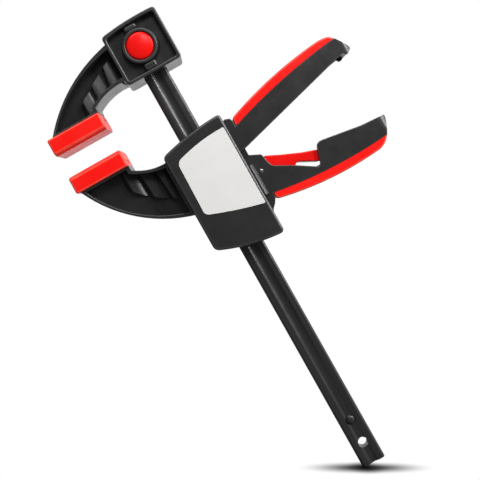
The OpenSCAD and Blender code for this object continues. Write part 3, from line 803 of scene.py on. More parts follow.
class Blank:
    """A bmesh in millimetres that operators shape into one piece.

    Vertices nearer than merge are made one, faces that turn less than the flat angles in degrees are made
    one, and edges shorter than the short lengths and faces smaller than no_area are closed. Edges that turn
    more than sharp are shaded sharp, and steps shorter than shortest_step aren't sloped.
    """

    merge: float = 0.002
    copied_flat: float = 0.6
    carved_flat: float = 0.4
    copied_short: float = 0.11
    short: float = 0.01
    no_area: float = 1e-4
    most_slivers: int = 40
    sharp: float = 50.0
    flat_weight: int = 60
    corner_segments: int = 5
    shortest_step: float = 3.0

    def __init__(self) -> None:
        """Starts empty."""
        self.bm = bmesh.new()
        self.bm.faces.layers.float.new(EDGE_MARK)

    @classmethod
    def copied(cls, node: bpy.types.Object) -> "Blank":
        """Starts from a merged copy of a CAD node.

        Args:
            node: The CAD node's object.

        Returns:
            The blank, with flat faces whole and short edges closed.
        """
        blank = cls()
        blank.bm.from_mesh(node.data)
        bmesh.ops.scale(blank.bm, vec=(1 / MM,) * 3, verts=blank.bm.verts)
        blank.make_whole(cls.copied_flat)
        bmesh.ops.dissolve_degenerate(blank.bm, edges=blank.bm.edges, dist=cls.copied_short)
        return blank

    def make_whole(self, flat: float) -> None:
        """Merges doubled vertices and joins faces that are flat to each other.

        Args:
            flat: The angle in degrees below which they count as flat.
        """
        bmesh.ops.remove_doubles(self.bm, verts=self.bm.verts, dist=self.merge)
        bmesh.ops.dissolve_limit(self.bm, angle_limit=math.radians(flat), verts=self.bm.verts,
                                 edges=self.bm.edges)

    def bevel(self, geom: list, width: float, segments: int, affect: str = "EDGES",
              kept_apart: bool = False) -> list[bmesh.types.BMFace]:
        """Bevels edges or corners.

        Args:
            geom: The edges or vertices.
            width: The bevel's offset.
            segments: Its segments.
            affect: What is bevelled, EDGES or VERTICES.
            kept_apart: Whether it stops short of its neighbours.

        Returns:
            The new faces.
        """
        made = bmesh.ops.bevel(self.bm, geom=geom, offset=width, offset_type="OFFSET", segments=segments,
                               profile=0.5, affect=affect, material=-1, clamp_overlap=kept_apart)
        return made["faces"]

    def outline(self, corners: Sequence[Corner], y: float) -> bmesh.types.BMFace:
        """Draws an outline as the blank's first face.

        Args:
            corners: Its corners in order.
            y: Where the face lies along Y.

        Returns:
            The face.
        """
        ring = [self.bm.verts.new((corner.x, y, corner.z)) for corner in corners]
        self.bm.faces.new(ring)
        for start, end, corner in zip(ring, ring[1:] + ring[:1], corners):
            if corner.bulge:
                self.bow(start, end, corner)
        for vert, corner in zip(ring, corners):
            if corner.round:
                self.bevel([vert], corner.round, self.corner_segments, "VERTICES")
        return next(iter(self.bm.faces))

    def bow(self, start: bmesh.types.BMVert, end: bmesh.types.BMVert, corner: Corner) -> None:
        """Bends the edge between two corners into an arc.

        Args:
            start: The edge's first vertex.
            end: Its last vertex.
            corner: The corner that says how far it bulges, and in how many cuts.
        """
        way = end.co - start.co
        side = Vector((-way.z, 0.0, way.x)).normalized()
        foot, last = start.co.copy(), start
        for step in range(corner.cuts):
            edge = self.bm.edges.get((last, end))
            _, last = bmesh.utils.edge_split(edge, last, 1.0 / (corner.cuts + 1 - step))
            share = (step + 1) / (corner.cuts + 1)
            last.co = foot + way * share + side * corner.bulge * 4.0 * share * (1.0 - share)

    def slab(self, corners: Sequence[Corner], y0: float, y1: float) -> None:
        """Draws an outline and raises it along Y.

        Args:
            corners: The outline's corners in order.
            y0: Where it starts.
            y1: Where it ends.
        """
        made = bmesh.ops.extrude_face_region(self.bm, geom=[self.outline(corners, y0)])
        raised = [item for item in made["geom"] if isinstance(item, bmesh.types.BMVert)]
        bmesh.ops.translate(self.bm, vec=Y_AXIS * (y1 - y0), verts=raised)

    def box(self, low: Triple, high: Triple) -> None:
        """Adds a block.

        Args:
            low: Its lowest corner.
            high: Its highest corner.
        """
        verts = bmesh.ops.create_cube(self.bm, size=1.0)["verts"]
        bmesh.ops.scale(self.bm, vec=Vector(high) - Vector(low), verts=verts)
        bmesh.ops.translate(self.bm, vec=(Vector(low) + Vector(high)) / 2, verts=verts)

    def rod(self, x: float, z: float, radius: float, ends: Span, segments: int) -> None:
        """Adds a round bar along Y.

        Args:
            x: Its axis's X.
            z: Its axis's Z.
            radius: Its radius.
            ends: The Y of its ends.
            segments: Its segments.
        """
        low, high = ends
        verts = bmesh.ops.create_cone(self.bm, cap_ends=True, segments=segments, radius1=radius,
                                      radius2=radius, depth=high - low)["verts"]
        bmesh.ops.rotate(self.bm, cent=(0, 0, 0), matrix=QUARTER_TURN, verts=verts)
        bmesh.ops.translate(self.bm, vec=(x, (low + high) / 2, z), verts=verts)

    def turned(self, profile: Sequence[Span], x: float, z: float, steps: int) -> None:
        """Turns a profile about a line along Y.

        Args:
            profile: The profile's points as radius and Y; its first and last lie on the line.
            x: The line's X.
            z: The line's Z.
            steps: Steps round the line.
        """
        points = [self.bm.verts.new((x + radius, y, z)) for radius, y in profile]
        edges = [self.bm.edges.new(pair) for pair in zip(points, points[1:])]
        bmesh.ops.spin(self.bm, geom=points + edges, cent=(x, 0.0, z), axis=Y_AXIS, angle=math.tau,
                       steps=steps, use_merge=True)
        bmesh.ops.remove_doubles(self.bm, verts=self.bm.verts, dist=self.merge / 2)

    def coil(self, spring: Coil) -> None:
        """Winds a wire round an axis.

        Args:
            spring: The spring's size and place.
        """
        bm, wire = self.bm, spring.wire
        verts = bmesh.ops.create_circle(bm, segments=spring.sides, radius=wire / 2, cap_ends=True)["verts"]
        bmesh.ops.rotate(bm, cent=(0, 0, 0), matrix=QUARTER_TURN, verts=verts)
        bmesh.ops.translate(bm, vec=((spring.diameter - wire) / 2, 0.0, wire / 2), verts=verts)
        bmesh.ops.rotate(bm, cent=(0, 0, 0), matrix=spring.way.to_track_quat("Z", "Y").to_matrix(),
                         verts=verts)
        bmesh.ops.translate(bm, vec=spring.seat, verts=verts)
        steps = round(spring.turns * spring.steps_per_turn)
        bmesh.ops.spin(bm, geom=verts + list(bm.edges) + list(bm.faces), cent=spring.seat, axis=spring.way,
                       dvec=spring.way * ((spring.height - wire) / steps), angle=math.tau * spring.turns,
                       steps=steps, use_merge=False)

    def slope_steps(self, level: float, width: float) -> None:
        """Slopes the upright steps whose edges stand at a distance from the middle plane.

        Args:
            level: The edges' distance from the middle plane.
            width: How much is taken off beside an edge.
        """
        slack = 0.05
        steps = [edge for edge in self.bm.edges
                 if lies_at(edge, level, slack) and abs(edge.verts[0].co.x - edge.verts[1].co.x) < slack
                 and edge.calc_length() > self.shortest_step]
        self.bevel(steps, width, 1)

    def round_edges(self, how: Rounding, where: Optional[Callable[[Vector], bool]] = None) -> None:
        """Rounds edges and marks the new faces for the lighter edge tint, which is partly wear and partly a
        painted highlight.

        Args:
            how: The rounding.
            where: Tells by an edge's middle whether it is taken; without it every edge may be.
        """
        edges = [edge for edge in self.bm.edges if how.takes(edge) and (not where or where(middle_of(edge)))]
        rounded = self.bevel(edges, how.width, how.segments, kept_apart=how.kept_apart)
        mark = self.bm.faces.layers.float[EDGE_MARK]
        for face in rounded:
            face[mark] = 1.0

    def turn(self, degrees: float, axis: str) -> None:
        """Turns the whole blank about an axis through the origin."""
        bmesh.ops.rotate(self.bm, cent=(0, 0, 0), matrix=Matrix.Rotation(math.radians(degrees), 3, axis),
                         verts=self.bm.verts)

    def turn_over(self) -> None:
        """Mirrors the whole blank about the plane through the origin square to Z."""
        bmesh.ops.scale(self.bm, vec=(1.0, 1.0, -1.0), verts=self.bm.verts)

    def lift(self, z: float) -> None:
        """Moves the whole blank along Z."""
        bmesh.ops.translate(self.bm, vec=Z_AXIS * z, verts=self.bm.verts)

    def carve(self, tool: "Blank") -> None:
        """Cuts another blank, which is used up, away from this one.

        Args:
            tool: The shape that cuts.
        """
        mine, other = self.loose("blank"), tool.loose("tool")
        boolean = mine.modifiers.new("carve", "BOOLEAN")
        boolean.object = other
        boolean.operation = "DIFFERENCE"
        boolean.solver = "EXACT"
        bpy.context.view_layer.update()
        evaluated = mine.evaluated_get(bpy.context.evaluated_depsgraph_get())
        carved = bpy.data.meshes.new_from_object(evaluated)
        self.bm = bmesh.new()
        self.bm.from_mesh(carved)
        if EDGE_MARK not in self.bm.faces.layers.float:
            self.bm.faces.layers.float.new(EDGE_MARK)
        meshes = [carved, mine.data, other.data]
        for used in (mine, other):
            bpy.data.objects.remove(used)
        for mesh in meshes:
            bpy.data.meshes.remove(mesh)
        self.make_whole(self.carved_flat)

    def loose(self, name: str) -> bpy.types.Object:
        """Turns the blank into a loose object and frees it.

        Args:
            name: The object's name.

        Returns:
            The object, with its faces outward.
        """
        bmesh.ops.recalc_face_normals(self.bm, faces=self.bm.faces)
        mesh = bpy.data.meshes.new(name)
        self.bm.to_mesh(mesh)
        self.bm.free()
        made = bpy.data.objects.new(name, mesh)
        bpy.context.scene.collection.objects.link(made)
        return made

    def close_slivers(self) -> None:
        """Closes the shortest edges, and joins each face of no area to the one across its longest edge."""
        bmesh.ops.dissolve_degenerate(self.bm, edges=self.bm.edges, dist=self.short)
        for _ in range(self.most_slivers):
            sliver = next((face for face in self.bm.faces if face.calc_area() < self.no_area), None)
            if not sliver:
                return
            longest = max(sliver.edges, key=bmesh.types.BMEdge.calc_length)
            bmesh.ops.dissolve_edges(self.bm, edges=[longest])

    def piece(self, name: str) -> bpy.types.Object:
        """Turns the blank into a finished object in metres, shaded smooth with flat faces kept flat.

        Args:
            name: The object's name.

        Returns:
            The object.
        """
        self.close_slivers()
        bmesh.ops.recalc_face_normals(self.bm, faces=self.bm.faces)
        bmesh.ops.scale(self.bm, vec=(MM,) * 3, verts=self.bm.verts)
        for face in self.bm.faces:
            face.smooth = True
        for edge in self.bm.edges:
            edge.smooth = not (edge.is_manifold and edge.calc_face_angle() > math.radians(self.sharp))
        made = self.loose(name)
        weighted = made.modifiers.new("flat_faces", "WEIGHTED_NORMAL")
        weighted.keep_sharp = True
        weighted.weight = self.flat_weight
        return made


# ---------------------------------------------------------------- assemblies


@dataclass
class Assembly:
    """A group of pieces; each kind of group builds its own.

    gap is the opening between the pads at rest, facet_top how far the arms' facets stand out beside their
    steps, and step_slope how far those steps are sloped.
    """

    frame: dict
    paint: Paintbox
    rail_middle: float = 65.6
    lock_z: float = 37.7
    gap: float = 16.0
    facet_top: float = 7.2
    step_slope: float = 2.6

    def place(self, blank: Blank, name: str, body: Body, slot: Slot, *nodes: str) -> bpy.types.Object:
        """Finishes a piece and ties it to the frame.

        Args:
            blank: The piece's shape.
            name: The piece's name.
            body: The body that it rides on.
            slot: The slot that it takes its finish from.
            nodes: The CAD nodes that it stands for.

        Returns:
            The piece.
        """
        piece = blank.piece(name)
        piece.data.materials.append(self.paint.made[slot])
        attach(piece, body.value)
        if nodes:
            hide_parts(*nodes)
        LOG.info("%s rides on %s, %d faces", name, body.value, len(piece.data.polygons))
        return piece

    def turn_piece(self, profile: Sequence[Span], x: float, z: float, steps: int, name: str, body: Body,
                   slot: Slot, node: str) -> None:
        """Turns a piece from its profile and places it.

        Args:
            profile: The profile's points as radius and Y.
            x: Its axis's X.
            z: Its axis's Z.
            steps: Steps round the axis.
            name: The piece's name.
            body: The body that it rides on.
            slot: The slot that it takes its finish from.
            node: The CAD node that it stands for.
        """
        blank = Blank()
        blank.turned(profile, x, z, steps)
        self.place(blank, name, body, slot, node)

    def spring(self, node: str, body: Body, coil: Coil, squeeze: Squeeze) -> None:
        """Winds a spring and stands it in the CAD node's place.

        Args:
            node: The CAD node.
            body: The body that it rides on.
            coil: Its size and place.
            squeeze: The joint, and what is left of its height; not used.
        """
        blank = Blank()
        blank.coil(coil)
        piece = self.place(blank, node + "_coil", body, Slot.SPRING_STEEL, node)
        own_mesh(piece)

    def softened(self, node: str, body: Body, slot: Slot, *roundings: Rounding,
                 stepped: bool = False) -> None:
        """Stands a copy of a CAD node with rounded edges in its place.

        Args:
            node: The CAD node.
            body: The body that it rides on.
            slot: The slot that it takes its finish from.
            roundings: The roundings, in order.
            stepped: Whether it has an arm with steps to slope.
        """
        blank = Blank.copied(self.frame["nodes"][node])
        if stepped:
            blank.slope_steps(self.facet_top, self.step_slope)
        for how in roundings:
            blank.round_edges(how)
        self.place(blank, node + "_moulding", body, slot, node)


def both_heads(half: Sequence[Span]) -> list[Span]:
    """Returns the profile of a pin with a head's profile at both ends, from its front to its back."""
    return [(radius, -y) for radius, y in half] + list(reversed(half))


@dataclass
class Rail(Assembly):
    """The grooved steel bar, with its stop pin and end hole."""

    half_width: float = 8.5
    half_thick: float = 4.25
    side_round: float = 2.0
    shoulder: float = 3.5
    shoulder_round: float = 0.9
    groove_cuts: int = 6
    web: float = 2.95
    top: float = 53.4
    foot: float = -287.6
    end_rounding: Rounding = Rounding(0.5, angle=60.0)
    hole_z: float = -271.9
    hole_radius: float = 3.5
    hole_rounding: Rounding = Rounding(0.25, segments=2, angle=60.0)
    near_hole: float = 4.2
    stop_z: float = -254.0
    stop_radius: float = 1.5
    stop_seat: float = 3.56
    stop_dome: tuple[Span, ...] = ((0.0, 4.85), (0.9, 4.8), (1.7, 4.6), (2.4, 4.25), (2.9, 3.8), (3.2, 3.35))
    stop_head: float = 3.3
    lock_radius: float = 3.15
    lock_slot: float = 2.1
    lock_web: float = 1.65
    lock_seat: float = 3.5
    lock_seat_slot: float = 3.48
    slot_end: float = 60.0
    past: float = 9.0
    steps: int = 64

    def build(self) -> None:
        """Builds the bar and the pin."""
        self.bar()
        head = [*self.stop_dome, (self.stop_head, self.web), (self.stop_radius, self.web)]
        self.turn_piece(both_heads(head), self.rail_middle, self.stop_z, self.steps, "rail_stop_rivet",
                        Body.RAIL, Slot.BLACK_STEEL, "rail_stop_pin")

    def section(self) -> list[Corner]:
        """Works out the bar's section.

        Returns:
            Its corners, with its depth along Z.
        """
        wide, thick, groove = self.half_width, self.half_thick, self.half_thick - self.web
        upper = [(wide, self.side_round, 0.0), (self.shoulder, self.shoulder_round, groove),
                 (-self.shoulder, self.shoulder_round, 0.0), (-wide, self.side_round, 0.0)]
        return [Corner(self.rail_middle + x * way, thick * way, round, bulge, self.groove_cuts)
                for way in (1.0, -1.0) for x, round, bulge in upper]

    def outside(self, web: float) -> tuple[Span, Span]:
        """Returns the spans in front of a web and behind it."""
        return (-self.past, -web), (web, self.past)

    def bar(self) -> None:
        """Draws the bar along Z, rounds its ends and drills it."""
        through = (-self.past, self.past)
        blank = Blank()
        blank.slab(self.section(), self.foot, self.top)
        blank.turn(90.0, "X")
        blank.round_edges(self.end_rounding)
        self.drill(blank, self.hole_z, self.hole_radius, through)
        self.drill(blank, self.stop_z, self.stop_radius, through)
        for side in self.outside(self.web):
            self.drill(blank, self.stop_z, self.stop_seat, side)
        blank.round_edges(self.hole_rounding, lambda place: abs(place.z - self.hole_z) < self.near_hole)
        self.drill(blank, self.lock_z, self.lock_radius, through)
        self.slot_up(blank, self.lock_slot, through)
        for side in self.outside(self.lock_web):
            self.drill(blank, self.lock_z, self.lock_seat, side)
            self.slot_up(blank, self.lock_seat_slot, side)
        self.place(blank, "rail_bar", Body.RAIL, Slot.BLACK_STEEL, "rail")

    def drill(self, blank: Blank, z: float, radius: float, span: Span) -> None:
        """Drills the bar along Y.

        Args:
            blank: The bar.
            z: The hole's Z.
            radius: Its radius.
            span: The Y that it goes from and to.
        """
        tool = Blank()
        tool.rod(self.rail_middle, z, radius, span, self.steps)
        blank.carve(tool)

    def slot_up(self, blank: Blank, half: float, span: Span) -> None:
        """Cuts a slot from the lock's hole out through the bar's top.

        Args:
            blank: The bar.
            half: Half the slot's width.
            span: The Y that it goes from and to.
        """
        tool = Blank()
        tool.box((self.rail_middle - half, span[0], self.lock_z),
                 (self.rail_middle + half, span[1], self.slot_end))
        blank.carve(tool)


@dataclass
class Pad(Assembly):
    """A soft jaw pad with a chamfered clamping face, a pocket for the jaw's foot and a catch slot.

    pocket is the pocket's half length, half depth and how far it is sunk. catch_x, catch_half and
    catch_drop are where the slot runs, half its depth, and its span below the pad's back.
    """

    length: float = 39.2
    half_depth: float = 18.0
    thick: float = 12.4
    chamfer_y: float = 3.0
    chamfer_z: float = 1.6
    rounding: Rounding = Rounding(1.3, segments=4, angle=20.0)
    pocket: Triple = (17.0, 12.9, 6.5)
    catch_x: Span = (16.5, 21.0)
    catch_half: float = 3.0
    catch_drop: Span = (5.5, 2.5)
    past: float = 1.0

    def build(self) -> None:
        """Builds the two pads."""
        self.place(self.shape(), "fixed_pad_rubber", Body.RAIL, Slot.RED_RUBBER, "fixed_pad")
        moving = self.shape()
        moving.turn_over()
        moving.lift(-self.gap)
        self.place(moving, "moving_pad_rubber", Body.JAW, Slot.RED_RUBBER, "moving_pad")

    def shape(self) -> Blank:
        """Shapes a pad whose clamping face lies at height 0.

        Returns:
            The pad.
        """
        deep, thick = self.half_depth, self.thick
        half = [Corner(-deep, thick), Corner(-deep, self.chamfer_z), Corner(-deep + self.chamfer_y, 0.0)]
        blank = Blank()
        blank.slab(half + [Corner(-c.x, c.z) for c in reversed(half)], -self.length / 2, self.length / 2)
        blank.turn(90.0, "Z")
        blank.round_edges(self.rounding)
        long, wide, sunk = self.pocket
        low, top = self.catch_drop
        for corners in (((-long, -wide, thick - sunk), (long, wide, thick + self.past)),
                        ((self.catch_x[0], -self.catch_half, thick - low),
                         (self.catch_x[1], self.catch_half, thick - top))):
            tool = Blank()
            tool.box(*corners)
            blank.carve(tool)
        return blank


@dataclass
class FixedJaw(Assembly):
    """The head with its arm, its push button and the lock inside it.

    button_dome is the cap's face as radius and depth behind its front, and lock_profile the pin's half
    section as radius and Y, with its waist and its groove for the clip.
    """

    roundings: tuple[Rounding, ...] = (
        Rounding(0.95, angle=60.0, level=15.5, after=46.0),
        Rounding(0.45, angle=60.0, level=15.5, before=46.0),
        Rounding(0.55, level=15.0, before=42.0),
        Rounding(0.7, level=15.2, after=50.0, before=81.0),
    )
    tab_half: float = 4.4
    tab_y: Span = (-14.0, -10.0)
    tab_z: tuple[Span, ...] = ((20.6, 25.6), (50.0, 53.6))
    tab_rounding: Rounding = Rounding(1.5, segments=5, angle=60.0)
    button_front: float = -16.1
    button_back: float = -9.5
    button_dome: tuple[Span, ...] = ((0.0, 0.0), (3.0, 0.1), (5.6, 0.38), (7.4, 0.72), (8.3, 1.0), (8.9, 1.4),
                                     (9.25, 1.95), (9.4, 2.7))
    button_wall: float = 1.8
    button_hollow: float = 3.2
    stem_radius: float = 4.6
    stem_back: float = -11.5
    bore_radius: float = 3.02
    bore_depth: float = 3.0
    button_steps: int = 96
    lock_profile: tuple[Span, ...] = (
        (0.0, -13.05), (2.7, -13.05), (3.0, -12.7), (3.0, -6.45), (1.8, -6.05), (1.8, -2.45), (3.0, -2.05),
        (3.0, 10.81), (2.3, 10.81), (2.3, 11.61), (3.0, 11.61), (3.0, 12.4), (2.6, 12.8), (0.0, 12.8))
    lock_steps: int = 48
    clip_rounding: Rounding = Rounding(0.15, segments=2, angle=32.0, kept_apart=True)
    spring_seat: float = -5.22

    def build(self) -> None:
        """Builds the head and the lock."""
        self.softened("fixed_jaw_head", Body.RAIL, Slot.BLACK_PLASTIC, *self.roundings, stepped=True)
        self.tabs()
        self.turn_piece(self.button_profile(), self.rail_middle, self.lock_z, self.button_steps,
                        "lock_button_cap", Body.BUTTON, Slot.RED_PLASTIC, "lock_button")
        self.turn_piece(self.lock_profile, self.rail_middle, self.lock_z, self.lock_steps,
                        "lock_pin_turned", Body.BUTTON, Slot.BRIGHT_STEEL, "lock_pin")
        self.softened("lock_pin_clip", Body.BUTTON, Slot.BRIGHT_STEEL, self.clip_rounding)
        coil = Coil(Vector((self.rail_middle, self.spring_seat, self.lock_z)), -Y_AXIS, diameter=14.6,
                    wire=0.8, height=7.85, turns=4.0)
        self.spring("button_spring", Body.RAIL, coil, Squeeze("button_press", 0.47))

    def tabs(self) -> None:
        """Builds the two tabs that stand on the spine above and below the collar."""
        blank = Blank()
        for low, high in self.tab_z:
            blank.box((self.rail_middle - self.tab_half, self.tab_y[0], low),
                      (self.rail_middle + self.tab_half, self.tab_y[1], high))
        blank.round_edges(self.tab_rounding)
        self.place(blank, "head_spine_tabs", Body.RAIL, Slot.BLACK_PLASTIC)

    def button_profile(self) -> list[Span]:
        """Works out the profile of the domed cap, which is hollow behind round a bored stem.

        Returns:
            Its points as radius and Y.
        """
        front, rim = self.button_front, self.button_dome[-1][0]
        hollow, roof = front + self.button_hollow, front + self.bore_depth
        return [*((radius, front + depth) for radius, depth in self.button_dome), (rim, self.button_back),
                (rim - self.button_wall, self.button_back), (rim - self.button_wall, hollow),
                (self.stem_radius, hollow), (self.stem_radius, self.stem_back),
                (self.bore_radius, self.stem_back), (self.bore_radius, roof), (0.0, roof)]


@dataclass(frozen=True)
class Pin:
    """A plain pivot pin along Y: its piece and node, its X and Z, its radius and its half length."""

    name: str
    node: str
    x: float
    z: float
    radius: float
    half_length: float

    def profile(self) -> list[Span]:
        """Works out its profile with a slight dome at both ends.

        Returns:
            Its points as radius and Y.
        """
        r, end = self.radius, self.half_length
        return both_heads([(0.0, end), (r - 0.35, end - 0.02), (r - 0.1, end - 0.12), (r, end - 0.35)])


@dataclass
class SlidingJaw(Assembly):
    """The housing: frame with the lower arm and the fixed handle, covers, name plate, grip, screws and pins.

    The label's corners and the screws' places are as they are when the pads touch. screw_head and screw_shank
    are a screw's profile as radius and Y, and cross is half the length and half the width of its slots, which
    run through cross_y.
    """

    frame_roundings: tuple[Rounding, ...] = (
        Rounding(0.55, level=15.0, before=37.0, under=-29.5),
        Rounding(0.6, level=12.5, after=95.0),
        Rounding(0.4, segments=2, level=16.5),
        Rounding(0.6, segments=2, level=3.2, after=60.0, before=71.0),
    )
    front: float = 19.5
    cover_rounding: Rounding = Rounding(1.7, segments=4, angle=60.0, level=19.5)
    grip_rounding: Rounding = Rounding(1.2, segments=4, level=12.7, spare=1.0)
    label_corners: tuple[Corner, ...] = (
        Corner(49.0, -27.0, round=3.4, bulge=1.6), Corner(87.2, -21.2, round=1.2),
        Corner(87.2, -78.7, round=1.2, bulge=0.8), Corner(48.1, -66.2, round=2.4))
    label_thick: float = 0.25
    label_rounding: Rounding = Rounding(0.1, segments=2, angle=60.0)
    screw_places: tuple[Span, ...] = ((50.3, -25.7), (50.3, -83.425), (80.9, -93.6))
    screw_head: tuple[Span, ...] = ((0.0, 19.05), (1.3, 19.0), (2.2, 18.7), (2.65, 18.2), (2.8, 17.7),
                                    (2.8, 16.9))
    screw_shank: tuple[Span, ...] = ((1.5, 16.9), (1.5, -16.2), (1.1, -16.7), (0.0, -16.7))
    cross: Span = (1.6, 0.4)
    cross_y: Span = (17.8, 19.9)
    steps: int = 40
    pins: tuple[Pin, ...] = (
        Pin("pump_pin_turned", "pump_pivot_pin", 51.5, -54.8, 2.5, 17.2),
        Pin("release_pin_turned", "release_pivot_pin", 95.7, -74.85, 1.1, 12.5))

    def build(self) -> None:
        """Builds the pieces of the sliding jaw."""
        self.softened("housing_frame", Body.JAW, Slot.BLACK_PLASTIC, *self.frame_roundings, stepped=True)
        self.softened("front_cover", Body.JAW, Slot.BLACK_PLASTIC, self.cover_rounding)
        self.softened("rear_cover", Body.JAW, Slot.BLACK_PLASTIC, self.cover_rounding)
        self.softened("handle_grip", Body.JAW, Slot.RED_RUBBER, self.grip_rounding)
        self.label()
        self.screws()
        for pin in self.pins:
            self.turn_piece(pin.profile(), pin.x, pin.z, self.steps, pin.name, Body.JAW,
                            Slot.BRIGHT_STEEL, pin.node)

    def label(self) -> None:
        """Builds the bare name plate."""
        blank = Blank()
        blank.slab(self.label_corners, -self.front - self.label_thick, -self.front)
        blank.round_edges(self.label_rounding)
        blank.lift(-self.gap)
        self.place(blank, "name_plate_film", Body.JAW, Slot.LABEL_FILM, "label_plate")

    def screws(self) -> None:
        """Turns the screws and cuts their cross recesses, one slot of the cross at a time."""
        blank = Blank()
        for x, z in self.screw_places:
            blank.turned(self.screw_head + self.screw_shank, x, z, self.steps)
        for long, wide in (self.cross, self.cross[::-1]):
            slots = Blank()
            for x, z in self.screw_places:
                slots.box((x - long, self.cross_y[0], z - wide), (x + long, self.cross_y[1], z + wide))
            blank.carve(slots)
        blank.lift(-self.gap)
        self.place(blank, "cover_screw_set", Body.JAW, Slot.BRIGHT_STEEL, "cover_screws")


@dataclass
class Levers(Assembly):
    """The pump lever with its soft grip, and the release lever."""

    lever_rounding: Rounding = Rounding(0.6, level=15.0)
    grip_rounding: Rounding = Rounding(1.2, segments=4, level=15.2, spare=-1.0)
    release_rounding: Rounding = Rounding(0.9, level=9.6, after=101.0)

    def build(self) -> None:
        """Builds the levers."""
        self.softened("pump_lever", Body.PUMP, Slot.BLACK_PLASTIC, self.lever_rounding)
        self.softened("pump_lever_grip", Body.PUMP, Slot.RED_RUBBER, self.grip_rounding)
        self.softened("release_lever", Body.RELEASE, Slot.RED_PLASTIC, self.release_rounding)


@dataclass
class Mechanism(Assembly):
    """The plates and springs inside the housing."""

    plate_rounding: Rounding = Rounding(0.3, segments=2, kept_apart=True)
    drive_seat: float = -72.74
    brake_spring_x: float = 53.0
    brake_seat: float = -90.14

    def build(self) -> None:
        """Builds the plates and springs."""
        self.softened("drive_plate", Body.DRIVE, Slot.PLATE_STEEL, self.plate_rounding)
        self.softened("brake_plate", Body.BRAKE, Slot.PLATE_STEEL, self.plate_rounding)
        drive = Coil(Vector((self.rail_middle, 0.0, self.drive_seat)), Z_AXIS, diameter=23.4, wire=1.2,
                     height=8.38, turns=3.0)
        self.spring("drive_spring", Body.JAW, drive, Squeeze("drive_plate_slide", 0.53))
        brake = Coil(Vector((self.brake_spring_x, 0.0, self.brake_seat)), Z_AXIS, diameter=5.0, wire=0.7,
                     height=10.3, turns=7.0, sides=8, steps_per_turn=20)
        self.spring("brake_spring", Body.JAW, brake, Squeeze("brake_plate_tilt", 0.7))


# ---------------------------------------------------------------- studio


@dataclass(frozen=True)
class StudioCamera:
    """The camera, rolled so that the rail leans to the right: its place in millimetres and its lens."""

    place: Triple = (60.22, -519.34, -71.34)
    forward: Triple = (-0.00294, 0.99991, -0.01319)
    up: Triple = (0.49104, 0.01294, 0.87104)
    lens: float = 56.568
    sensor: float = 36.0
    shift: Span = (0.05, -0.08)
    clip: Span = (0.01, 20.0)

    def build(self) -> None:
        """Makes the camera."""
        data = bpy.data.cameras.new("camera")
        data.lens, data.sensor_width = self.lens, self.sensor
        data.shift_x, data.shift_y = self.shift
        data.clip_start, data.clip_end = self.clip
        camera = bpy.data.objects.new("camera", data)
        bpy.context.scene.collection.objects.link(camera)
        forward = Vector(self.forward).normalized()
        right = forward.cross(Vector(self.up)).normalized()
        turn = Matrix((right, right.cross(forward), -forward)).transposed()
        camera.matrix_world = Matrix.Translation(Vector(self.place) * MM) @ turn.to_4x4()
        bpy.context.scene.camera = camera


@dataclass(frozen=True)
class Lamp:
    """A soft box: its place, its width and height, its power and what it looks at, in metres and watts."""

    name: str
    place: Triple
    size: Span
    power: float
    aim: Triple = (0.07, 0.0, -0.08)

    def build(self) -> None:
        """Makes the lamp."""
        data = bpy.data.lights.new(self.name, "AREA")
        data.shape = "RECTANGLE"
        data.size, data.size_y = self.size
        data.energy = self.power
        lamp = bpy.data.objects.new(self.name, data)
        bpy.context.scene.collection.objects.link(lamp)
        lamp.location = self.place
        way = Vector(self.aim) - Vector(self.place)
        lamp.rotation_euler = way.to_track_quat("-Z", "Y").to_euler()


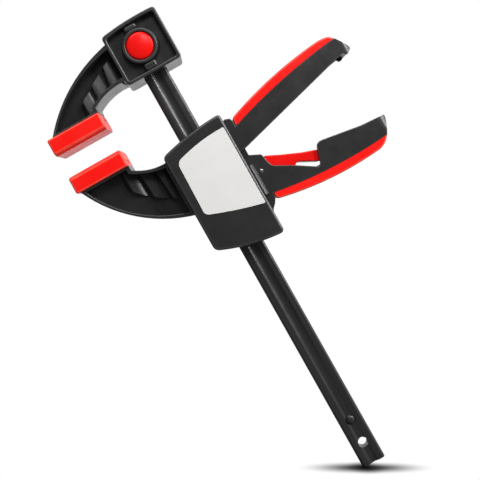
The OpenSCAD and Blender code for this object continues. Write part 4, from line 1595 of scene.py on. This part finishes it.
@dataclass
class Studio:
    """Camera, lamps, world and floor.

    ambient is the world's plain light, and room its strength where it is mirrored, which rises to white over
    the span of Y named behind and the span of X named beside. The floor's sizes are in millimetres.
    """

    camera: StudioCamera = field(default_factory=StudioCamera)
    lamps: tuple[Lamp, ...] = (
        Lamp("right_box", (0.88, -0.55, 0.10), (0.14, 0.6), 6.8),
        Lamp("side_box", (1.0, -0.12, 0.05), (0.3, 0.7), 5.0),
        Lamp("front_box", (0.42, -0.80, 0.42), (0.3, 0.3), 3.0),
        Lamp("top_box", (0.20, -0.42, 0.72), (0.6, 0.18), 2.8),
        Lamp("foot_box", (0.75, -0.35, -1.10), (0.6, 0.4), 0.8),
    )
    ambient: float = 0.27
    room: float = 0.1
    behind: Span = (0.45, 0.85)
    beside: Span = (0.6, 0.95)
    floor_radius: float = 100.0
    floor_segments: int = 96
    # size and place of the painted shadow under the foot, in millimetres
    shade_width: float = 49.5
    shade_depth: float = 13.5
    shade_offset: Span = (1.8, -2.9)

    def build(self, foot: Vector) -> None:
        """Makes the camera, lamps, world and floor.

        Args:
            foot: The lowest point of the clamp as it leans, in metres.
        """
        self.camera.build()
        for lamp in self.lamps:
            lamp.build()
        self.world()
        self.floor(foot)

    def world(self) -> None:
        """Makes a world that is white where it is seen or mirrored, and plain light otherwise."""
        world = bpy.data.worlds.new("studio")
        bpy.context.scene.world = world
        s = Sketch.on(world)
        path = s.node("ShaderNodeLightPath").outputs
        seen = s.math("MAXIMUM", path["Is Camera Ray"], path["Is Transmission Ray"])
        way = s.node("ShaderNodeSeparateXYZ")
        s.feed(way.inputs["Vector"], s.node("ShaderNodeTexCoord").outputs["Generated"])
        behind, beside = (s.remap(way.outputs[axis], span, (self.room, 1.0))
                          for axis, span in (("Y", self.behind), ("X", self.beside)))
        walls = s.math("MAXIMUM", behind, beside)
        mirrored = s.mix(Mixed.VALUES, path["Is Glossy Ray"], self.ambient, walls)
        back = s.node("ShaderNodeBackground", Color=(1.0, 1.0, 1.0, 1.0))
        s.feed(back.inputs["Strength"], s.mix(Mixed.VALUES, seen, mirrored, 1.0))
        s.feed(s.node("ShaderNodeOutputWorld").inputs["Surface"], back.outputs["Background"])

    def floor(self, foot: Vector) -> None:
        """Makes a small round floor square to the camera's up that holds the clamp's shadow and a painted
        shadow under its foot.

        Args:
            foot: The point that the floor passes through, in metres.
        """
        up = Vector(self.camera.up).normalized()
        right = Vector(self.camera.forward).cross(up).normalized()
        bm = bmesh.new()
        bmesh.ops.create_circle(bm, cap_ends=True, segments=self.floor_segments,
                                radius=self.floor_radius * MM)
        turn = up.to_track_quat("Z", "Y").to_matrix().to_4x4()
        bmesh.ops.transform(bm, matrix=Matrix.Translation(foot) @ turn, verts=bm.verts)
        mesh = bpy.data.meshes.new("floor")
        bm.to_mesh(mesh)
        bm.free()
        floor = bpy.data.objects.new("floor", mesh)
        bpy.context.scene.collection.objects.link(floor)
        away = up.cross(right)
        centre = foot + (right * self.shade_offset[0] + away * self.shade_offset[1]) * MM
        paper = FloorPaper(tuple(centre), tuple(right / (self.shade_width * MM)),
                           tuple(away / (self.shade_depth * MM)))
        floor.data.materials.append(paper.material())


def main() -> None:
    """Builds the pieces round the frame, then the studio."""
    logging.basicConfig(level=logging.INFO)
    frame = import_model()
    bpy.context.scene.view_settings.view_transform = "Standard"
    paint = Paintbox()
    for part in frame["record"]["subparts"]:
        node = frame["nodes"][part["node"]]
        node.data.materials.clear()
        node.data.materials.append(paint.made[Slot(part["material_slot"])])
    for assembly in (Rail, Pad, FixedJaw, SlidingJaw, Levers, Mechanism):
        assembly(frame, paint).build()
    low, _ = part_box("rail")
    Studio().build(Vector((low.x, 0.0, low.z)))


if __name__ == "__main__":
    main()
